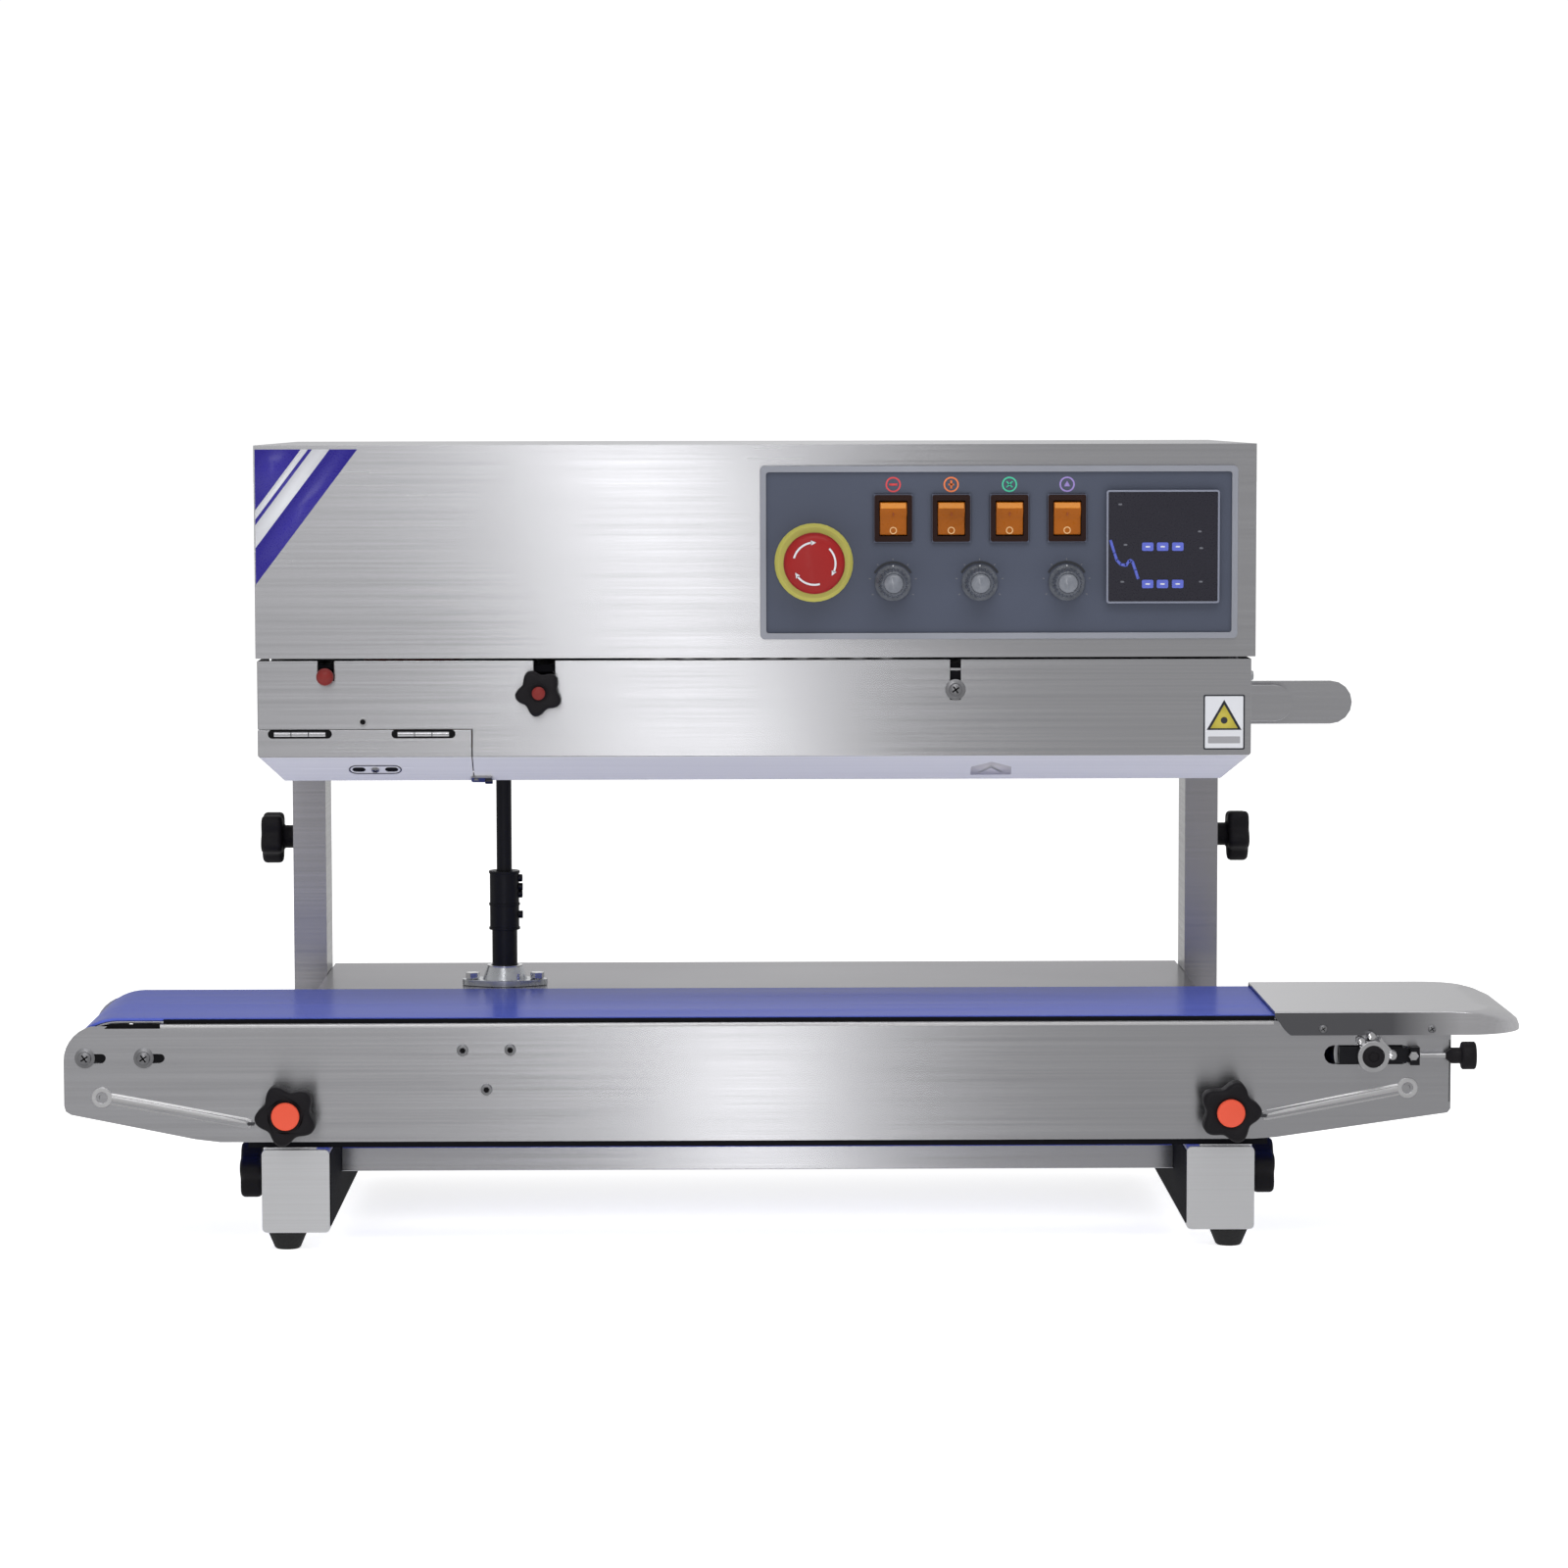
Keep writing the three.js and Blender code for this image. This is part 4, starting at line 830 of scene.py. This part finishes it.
for index in (1, 2, 3):
    node = f"dial_{index}"
    low, high = span(node)
    x, z = (low.x + high.x) / 2, low.z + 11.6
    layers = [(circle(radius, DIAL_POINTS), height) for radius, height in DIAL_SKIRT]
    layers += [(fluted(9.3), DIAL_BASE + 4.4), (fluted(8.5), 27.4)]
    layers += [(circle(radius, DIAL_POINTS), height) for radius, height in DIAL_CROWN]
    dial = stack(f"{node}_grip", (x, 0, z), "front", layers, SMOKE, node, angle=35)
    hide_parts(node)
    turned(f"{node}_core", (x, 0, z), "front", DIAL_DOME, SMOKE_PALE, node)
    pointer = box_outline(1.1, 2.6, 0.4)
    slab(f"{node}_pointer", (x, 0, z + 10.0), "front", pointer, 13.0, 16.3, INK_WHITE, node, 0.15)
    # A dark crescent above each dial: painted shade in the gap round the knob's top. The ticks are print.
    film(f"dial_gap_shade_{index}", (x, PANEL_FACE, z), "front", sector(12.3, 13.9, 28, 152), INK_DARK, "head")
    for mark in range(7):
        start = -30 + 40 * mark
        tick = sector(14.3, 15.5, start - 1.2, start + 1.2, 2)
        film(f"dial_tick_{index}_{mark}", (x, PANEL_FACE, z), "front", tick, INK_DIM, "head")

# ---------- emergency stop

stop_low, stop_high = span("estop_button")
STOP = ((stop_low.x + stop_high.x) / 2, 0, (stop_low.z + stop_high.z) / 2)
mushroom = [(10.8, -14), (10.8, 21.6), (17.4, 22.0), (18.8, 22.9), (19.5, 24.6), (19.6, 27.2), (19.2, 29.6)]
mushroom += [(18.2, 31.4), (16.4, 32.5), (13.6, 33.2), (9.0, 33.7), (4.0, 33.9), (0, 33.95)]
button = turned("estop_mushroom", STOP, "front", mushroom, RED, "estop_button", count=72)
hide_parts("estop_button")
for index in range(3):
    lead = 165 - 120 * index
    tail = sector(12.8, 14.0, lead, lead - 68, 16)
    slab(f"estop_arrow_{index}", STOP, "front", tail, 32.6, 33.55, INK_WHITE, "estop_button", 0)
    heel = math.radians(lead - 66)
    head = [polar(13.4, math.radians(lead - 80)), polar(11.8, heel), polar(15.0, heel)]
    slab(f"estop_arrow_head_{index}", STOP, "front", head, 32.4, 33.55, INK_WHITE, "estop_button", 0)

# ---------- temperature controller

case_low, case_high = span("temperature_controller")
CASE = ((case_low.x + case_high.x) / 2, case_low.y, (case_low.z + case_high.z) / 2)
frame_piece(
    "controller_frame", CASE, "front", box_outline(72.3, 72.3, 1.8), box_outline(69.8, 69.8, 0.8),
    -0.2, 0.9, CASE_GREY, "head", 0.2, 0.3,
)
film("controller_face", CASE, "front", box_outline(70.2, 70.2, 0.8), SCREEN, "head", 0.0, 0.25)


def on_case(dx, dz):
    return (CASE[0] + dx, CASE[1] - 0.25, CASE[2] + dz)


for row, dz in enumerate((0.0, -23.8)):
    for column, dx in enumerate((-9.8, -0.3, 9.4)):
        spot, key = on_case(dx, dz), f"{row}_{column}"
        pad = box_outline(7.4, 5.4, 1.0)
        slab(f"controller_key_{key}", spot, "front", pad, 0, 0.5, KEY_BLUE, "head", 0.15)
        film(f"controller_key_mark_{key}", spot, "front", stadium(3.0, 0.9, 4), INK_WHITE, "head", 0.5, 0.06)
CASE_MARKS = ((-27.4, 27.0), (-24.0, 1.2), (23.4, 9.6), (24.4, -1.0), (-26.0, -22.4), (24.2, -22.4))
for index, (dx, dz) in enumerate(CASE_MARKS):
    film(f"controller_mark_{index}", on_case(dx, dz), "front", stadium(2.4, 1.1, 6), INK_DIM, "head", 0, 0.08)
swoosh = [(-33.6, 4), (-31, -4), (-29.5, -8.6), (-27, -11.2), (-23.6, -12.0), (-21.4, -8.6)]
swoosh += [(-19.6, -9.4), (-17.6, -15.0), (-15.8, -20.6)]
for index, ((ax, az), (bx, bz)) in enumerate(zip(swoosh, swoosh[1:])):
    length = math.hypot(bx - ax, bz - az)
    ux, uz = (bx - ax) / length, (bz - az) / length
    half = 0.9
    outline = [(-ux * 0.3 - uz * half, -uz * 0.3 + ux * half), (-ux * 0.3 + uz * half, -uz * 0.3 - ux * half)]
    outline += [(bx - ax + uz * half, bz - az - ux * half), (bx - ax - uz * half, bz - az + ux * half)]
    film(f"controller_line_{index}", on_case(ax, az), "front", outline, KEY_BLUE, "head", 0, 0.08)

# ---------- head: corner film, cover details

head_low, head_high = span("upper_housing")
HEAD_FACE = head_low.y
corner = Vector((head_low.x + 0.9, head_high.z - 2.6))
CORNER_W, CORNER_H = 65.4, 86.0


def corner_band(name, outer, inner, material):
    """A stripe of the corner film, between two lines parallel to its long edge."""
    points = [(outer * CORNER_W, 0), (0, -outer * CORNER_H)]
    points += [(0, -inner * CORNER_H), (inner * CORNER_W, 0)] if inner > 0 else [(0, 0)]
    film(name, (corner.x, HEAD_FACE, corner.y), "front", points, material, "head", 0, 0.12)


CORNER_EDGES = (1.0, 0.73, 0.56, 0.52, 0.45, 0)
for index, (outer, inner) in enumerate(zip(CORNER_EDGES, CORNER_EDGES[1:])):
    corner_band(f"corner_film_{index}", outer, inner, INK_WHITE if index % 2 else INK_BLUE)

cover_low, cover_high = span("front_cover")
COVER_FACE = cover_low.y
flap_low, flap_high = span("access_flap")
FLAP_FACE = flap_low.y
pan_screw("cover_screw", (126.9, COVER_FACE, 363.3), "front", 4.2, "front_cover", 6.6)
for index, x in enumerate((-293.2, -214.1)):
    slot_at = (x, FLAP_FACE, flap_high.z - 2.6)
    # Each hinge slot is a near-black film of painted shade.
    film(f"hinge_slot_{index}", slot_at, "front", stadium(41, 5.6), GAP_SHADE, "access_flap", 0, 0.1)
    knuckle = circle(1.55, 16)
    for part, (start, end) in enumerate(((-16.5, -5.8), (-5.4, 5.4), (5.8, 16.5))):
        y, z = FLAP_FACE - 0.3, slot_at[2]
        verts = [(x + along, y + v, z + u) for along in (start, end) for u, v in knuckle]
        faces = rings_to_faces(2, 16)
        place(f"hinge_knuckle_{index}_{part}", verts, faces, STEEL, "access_flap", 0.15, 2, 40)
PEEP_AT = (-252.9, COVER_FACE, 343.4)
ring_piece("peep_hole_rim", PEEP_AT, "front", 1.7, 2.8, -0.05, 0.5, CHROME, "front_cover", 0.2)
# The peep hole is a near-black disc of painted shade inside the rim.
film("peep_hole", PEEP_AT, "front", circle(1.8, 24), GAP_SHADE, "front_cover", 0, 0.08)
turned(
    "cover_stud", (cover_high.x, -1, 371.5), "right",
    [(0, -0.2), (3.2, -0.2), (3.2, 1.2), (2.6, 2.0), (0, 2.3)], ZINC, "front_cover", count=32,
)


SKIRT_BACK, SKIRT_BOTTOM = 15.0, cover_low.z


def on_skirt(x, along, lift=0.0):
    """A point on the slanted skirt: along runs from its lower edge up, in millimetres of slope."""
    _, up, out = OUTWARD["skirt"]
    start = Vector((x, SKIRT_BACK, SKIRT_BOTTOM))
    return tuple(start + up * along + out * lift)


frame_piece(
    "skirt_slot_rim", on_skirt(-246, 13.6), "skirt", stadium(34, 10.4), stadium(32.4, 8.8), -0.1, 0.3,
    DARK_STEEL, "access_flap", 0.1,
)
# The skirt's two slots are near-black films of painted shade.
for index, dx in enumerate((-10.5, 10.5)):
    spot = on_skirt(-246 + dx, 13.6)
    film(f"skirt_slot_{index}", spot, "skirt", stadium(8.5, 5.2), GAP_SHADE, "access_flap", 0, 0.08)
pan_screw("skirt_screw", on_skirt(-246, 13.6), "skirt", 2.6, "access_flap")
tab, lip = box_outline(13.5, 6.0, 1.4), box_outline(5.0, 3.4, 0.8)
slab("latch_tab", on_skirt(-178.0, 2.6), "skirt", tab, -0.1, 1.5, HARDWARE, "front_cover", 0.4)
pan_screw("latch_screw", on_skirt(-181.5, 2.8, 1.5), "skirt", 1.8, "front_cover", cross=False)
slab("latch_lip", on_skirt(-173.4, 1.8, 1.4), "skirt", lip, -0.1, 1.6, DARK_STEEL, "front_cover", 0.3)
house = [(-13, -7.5), (13, -7.5), (13, 2.0), (0, 8.0), (-13, 2.0)]
film("direction_mark", on_skirt(150.5, 12.8), "skirt", house, INK_PALE, "front_cover", 0, 0.1)
chevron = [(-8.5, -4.5), (0, 4.4), (8.5, -4.5), (6.1, -4.5), (0, 1.2), (-6.1, -4.5)]
film("direction_chevron_0", on_skirt(150.5, 12.8), "skirt", chevron, INK_GREY, "front_cover", 0.1, 0.06)

LABEL = (299.4, COVER_FACE, 341.9)
film("label_back", LABEL, "front", box_outline(26.6, 35.4, 1.0), INK_WHITE, "front_cover", 0, 0.1)
frame_piece(
    "label_border", LABEL, "front", box_outline(26.6, 35.4, 1.0), box_outline(24.6, 33.4, 0.7), 0, 0.16,
    INK_DARK, "front_cover", 0,
)
triangle = [(-11.2, -9.2), (11.2, -9.2), (0, 10.2)]
LABEL_FILMS = (
    ("triangle_edge", 4.2, triangle, INK_DARK, 0.1, 0.05),
    ("triangle", 4.2, [(u * 0.78, v * 0.78 - 0.9) for u, v in triangle], INK_YELLOW, 0.15, 0.05),
    ("dot", 1.2, circle(2.2, 24), INK_DARK, 0.2, 0.05),
    ("bar", -11.4, box_outline(20.6, 4.4, 0.5), INK_GREY, 0.1, 0.06),
)
for part, rise, outline, ink, low, thick in LABEL_FILMS:
    middle = (LABEL[0], LABEL[1], LABEL[2] + rise)
    film(f"label_{part}", middle, "front", outline, ink, "front_cover", low, thick)

frame_low, frame_high = span("head_frame")
slab(
    "deck_edge_strip", ((frame_low.x + frame_high.x) / 2, -4.0, 377.5), "front",
    box_outline(frame_high.x - frame_low.x - 2, 4.6, 1), 0, 0.5, BLACK_PAINT_AND_SHADE, "head", 0.1,
)
# Near-black faces behind the screw and pressure-knob slots are painted shade in those slots.
BOSSES = (("screw", (127, -5.5, 365), (13.4, 21)), ("pressure", (-139.5, 8.0, 366), (16.6, 23)))
for part, boss_at, size in BOSSES:
    slab(f"{part}_boss_face", boss_at, "front", box_outline(*size), 0, 0.4, BLACK_PAINT_AND_SHADE, "head", 0.1)
lever_low, lever_high = span("release_lever")
LEVER = ((lever_low.x + lever_high.x) / 2, -15.5, (lever_low.z + lever_high.z) / 2)
ball = [polar(5.6, math.radians(a)) for a in range(-90, 91, 10)]
lever = turned("release_ball", LEVER, "front", ball, DULL_RED, "release_lever", count=40)
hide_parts("release_lever")
bracket = box_outline(20, 11, 1.5)
slab("lever_bracket", (LEVER[0], -4.0, 371.5), "front", bracket, 0, 0.5, BLACK_PAINT_AND_SHADE, "head", 0.1)
stem = [(0, -10.6), (2, -10.6), (2, -4.6), (0, -4.6)]
turned("release_stem", LEVER, "front", stem, CHROME, "release_lever", count=24)
collar = [(0, -10.9), (4.6, -10.9), (4.6, -9.6), (4.2, -9.4), (0, -9.4)]
turned("release_collar", LEVER, "front", collar, DARK_STEEL, "release_lever")

# ---------- conveyor: bolts, slots, fold, ribs

plate_low, plate_high = span("conveyor_front_plate")
PLATE_FACE = plate_low.y + RIB_PROUD
for index, (x, z) in enumerate(((-434.7, 125.9), (-396.8, 125.8))):
    spot = (x + 5.0, PLATE_FACE, z)
    # Near-black films of painted shade in the roller bolts' slots.
    film(f"roller_slot_{index}", spot, "front", stadium(17, 5.4), GAP_SHADE, "base", 0, 0.1)
    pan_screw(f"roller_bolt_{index}", (x, PLATE_FACE, z), "front", 4.4, "base", 6.5)
for index, (x, z) in enumerate(((-191.0, 130.2), (-160.3, 130.4), (-175.7, 104.6))):
    socket_screw(f"bearing_screw_{index}", (x, PLATE_FACE, z), "front", 3.7, "base")
RIBS = (((-424.0, 100.3), (-328.0, 82.6)), ((420.4, 103.7), (327.0, 85.6)))
for index, ((x, z), (inner_x, inner_z)) in enumerate(RIBS):
    spot = (x, PLATE_FACE, z)
    # A bright ring and rib, painted highlight, round a near-black film of painted shade for the hole.
    ring_piece(f"rib_end_{index}", spot, "front", 3.6, 6.6, -0.3, 1.1, STEEL_HIGHLIGHT, "base", 0.4)
    film(f"rib_hole_{index}", spot, "front", circle(1.9, 24), GAP_SHADE, "base", 0.1, 0.1)
    run = Vector((inner_x - x, inner_z - z))
    along, across = run.normalized(), Vector((-run.y, run.x)).normalized()
    if across.y < 0:
        across = -across
    start = Vector((x, z)) + along * 5.4
    verts, faces = [], []
    stations = [(0.0, 3.9, 1.0), (0.02, 4.1, 1.05), (0.5, 3.9, 1.0), (0.96, 3.5, 0.85), (1.0, 2.8, 0.5)]
    for share, half, proud in stations:
        middle = start + (Vector((inner_x, inner_z)) - start) * share
        for offset, height in ((half, -0.1), (half * 0.78, 0.5), (half * 0.45, 0.9), (0, 1.0), (-half, -0.1)):
            point = middle + across * offset
            verts.append((point.x, PLATE_FACE - height * proud, point.y))
    place(f"rib_{index}", verts, rings_to_faces(len(stations), 5), STEEL_HIGHLIGHT, "base", 0.25, 2, 25)
    slab(
        f"rib_stop_{index}", (inner_x, PLATE_FACE, inner_z + 0.3), "front", stadium(5.0, 2.2, 6),
        -0.05, 1.3, DARK_STEEL, "base", 0.3,
    )
# A bright rounded fold along the plate's top edge: painted highlight.
fold = [(-0.22, 145.3), (-0.22, 146.1)]
for degrees in (0, 22, 45, 67, 90):
    u, v = polar(1.5, math.radians(degrees))
    fold.append((1.28 - u, 146.4 + v))
fold += [(1.45, 147.9), (1.45, 145.3)]
verts = [(x, y, z) for x in (-386.0, 333.5) for y, z in fold]
place("plate_fold", verts, rings_to_faces(2, len(fold)), STEEL_HIGHLIGHT, "base")
# A near-black film paints the shadow gap at the belt's left end.
gap = [(-18, -1.6), (18, -1.6), (18, 1.4), (-14.5, 1.4)]
slab("belt_gap", (-404.0, PLATE_FACE, 146.6), "front", gap, -0.05, 0.2, GAP_SHADE, "base", 0)
# Near-black strips painted as shadow: along the belt's front edge, and under the front plate's lower edge.
for index, (start, end, bottom, top) in enumerate(((-384, 334, 148.0, 150.7), (-330, 330, 67.0, 71.0))):
    edge = box_outline(end - start, top - bottom)
    middle = ((start + end) / 2, PLATE_FACE + 2.3, (bottom + top) / 2)
    slab(f"edge_shadow_strip_{index}", middle, "front", edge, 0, 0.6, BLACK_PAINT_AND_SHADE, "base", 0.1)
# A dark bend at the plate's right end: painted shade.
bend = [(-0.2, -1.5), (-0.2, -0.6), (0.05, -0.15), (0.5, 0.05), (1.4, 0.05), (1.4, -1.5)]
verts = [(plate_high.x + x, PLATE_FACE + y, z) for z in (94.4, 135.0) for y, x in bend]
place("plate_end_bend", verts, rings_to_faces(2, len(bend)), STEEL_EDGE_SHADE, "base")

TAIL = (397.0, PLATE_FACE - 9.3, 125.4)
ring_piece("clamp_ring", TAIL, "front", 6.9, 10.2, -6.0, 1.4, CHROME, "base", 0.5)
turned(
    "clamp_hub", TAIL, "front",
    [(0, -5), (7.0, -5), (7.0, 1.8), (6.4, 2.3), (3.4, 2.4), (3.0, 1.6), (0, 1.6)], BLACK_PLASTIC, "base",
)
for index, (dx, dz, size) in enumerate(((-7.4, 9.6, 2.8), (-1.0, 13.0, 3.0), (12.6, 0.6, 3.2))):
    turned(
        f"clamp_ear_{index}", (TAIL[0] + dx, TAIL[1] + 1.5, TAIL[2] + dz), "front",
        [(0, -5), (size, -5), (size, 0.2), (size * 0.8, 1.2), (0, 1.6)], CHROME, "base", count=32,
    )
link_at = (TAIL[0] + 7.8, TAIL[1] + 2.2, TAIL[2] + 4.6)
link = [(-4, 5.2), (-2.6, 7.2), (6.4, -3.0), (4.4, -5.0)]
slab("clamp_link", link_at, "front", link, -1.6, 1.2, CHROME, "base", 0.4)

screw_low, screw_high = span("tension_knob")
SCREW_Y, SCREW_Z = (screw_low.y + screw_high.y) / 2, 125.4
thread = [(1.7 if k % 2 else 1.95, 0.6 + 0.5 * k) for k in range(40)]
turned(
    "tension_rod", (screw_low.x, SCREW_Y, SCREW_Z), "right",
    [(0, 0), (1.7, 0)] + thread + [(1.7, 21.5), (0, 21.5)], CHROME, "tension_knob", count=24, angle=60,
)
knurled = [polar(9.0 - 0.45 * (i % 2), math.radians(6 * i)) for i in range(60)]
tapered = [(u * 0.92, v * 0.92) for u, v in knurled]
neck = ((2.0, -21), (4.6, -17.6), (5.2, -17.0), (5.2, -11.2))
layers = [(circle(radius, 60), height) for radius, height in neck]
layers += [(tapered, -10.7), (knurled, -9.9), (knurled, -2.4), (tapered, -1.6)]
layers += [(circle(5.4, 60), -1.5), (circle(4.8, 60), -2.1)]
knob_at = (screw_high.x, SCREW_Y, SCREW_Z)
knob = stack("tension_knob_head", knob_at, "right", layers, BLACK_PLASTIC, "tension_knob", angle=50)
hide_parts("tension_knob")
turned(
    "tension_nut", (423.2, PLATE_FACE - 9.0, SCREW_Z), "front",
    [(0, -2), (3.3, -2), (3.3, 0.4), (2.6, 1.2), (0, 1.4)], CHROME, "base", count=6, angle=20,
)

tray_low, tray_high = span("infeed_tray")
for index, (x, z) in enumerate(((365.2, 142.6), (435.7, 142.3))):
    pan_screw(f"tray_screw_{index}", (x, tray_low.y, z), "front", 2.6, "base", 0)
    pan_screw(f"tray_screw_back_{index}", (x, tray_high.y, z), "back", 2.6, "base", 0)

# ---------- legs, bearing, back

for side, sign in SIDES:
    low, high = span(f"leg_{side}")
    inner_x = high.x if sign < 0 else low.x
    facing = "right" if sign < 0 else "left"
    # A near-black pad over each leg's inner flank: partly black paint, partly painted shade.
    slab(
        f"leg_pad_{side}", (inner_x, (low.y + high.y) / 2, 39.5), facing,
        box_outline(high.y - low.y - 3, 47.5, 2), -0.05, 0.6, BLACK_PAINT_AND_SHADE, "base", 0.2,
    )
bearing_low, bearing_high = span("shaft_bearing")
for index, x in enumerate((SHAFT_X - 22, SHAFT_X + 22)):
    bolt_at = (x, SHAFT_Y, bearing_low.z + 4.2)
    slab(f"bearing_bolt_{index}", bolt_at, "up", hex_outline(8.6, 15), 0, 4.2, CHROME, "base", 0.4)
ring_piece("bearing_cap", (SHAFT_X, SHAFT_Y, bearing_high.z), "up", 9.6, 12.2, -0.6, 0.9, CHROME, "base", 0.3)
turned(
    "bearing_nipple", (SHAFT_X + 9.5, SHAFT_Y - 10.5, bearing_low.z + 4.0), "up",
    [(0, 0), (1.8, 0), (1.8, 2.8), (1.2, 3.2), (1.2, 4.4), (0, 4.8)], CHROME, "base", count=20,
)

rear_high = span("rear_cover")[1]
for index, x in enumerate((-300, -100, 100, 300)):
    pan_screw(f"rear_cover_screw_{index}", (x, rear_high.y, 372), "back", 3.2, "head", 0)
box_high = span("rear_box")[1]
for index, x in enumerate((-280, -93, 93, 280)):
    pan_screw(f"rear_box_screw_{index}", (x, box_high.y, 140), "back", 3.2, "base", 0)
back_high = span("conveyor_rear_plate")[1]
for index, (x, z) in enumerate(((-434.7, 125.9), (-396.8, 125.8), (396.7, 126.3))):
    pan_screw(f"rear_plate_bolt_{index}", (x, back_high.y - RIB_PROUD, z), "back", 4.4, "base", 6.5)
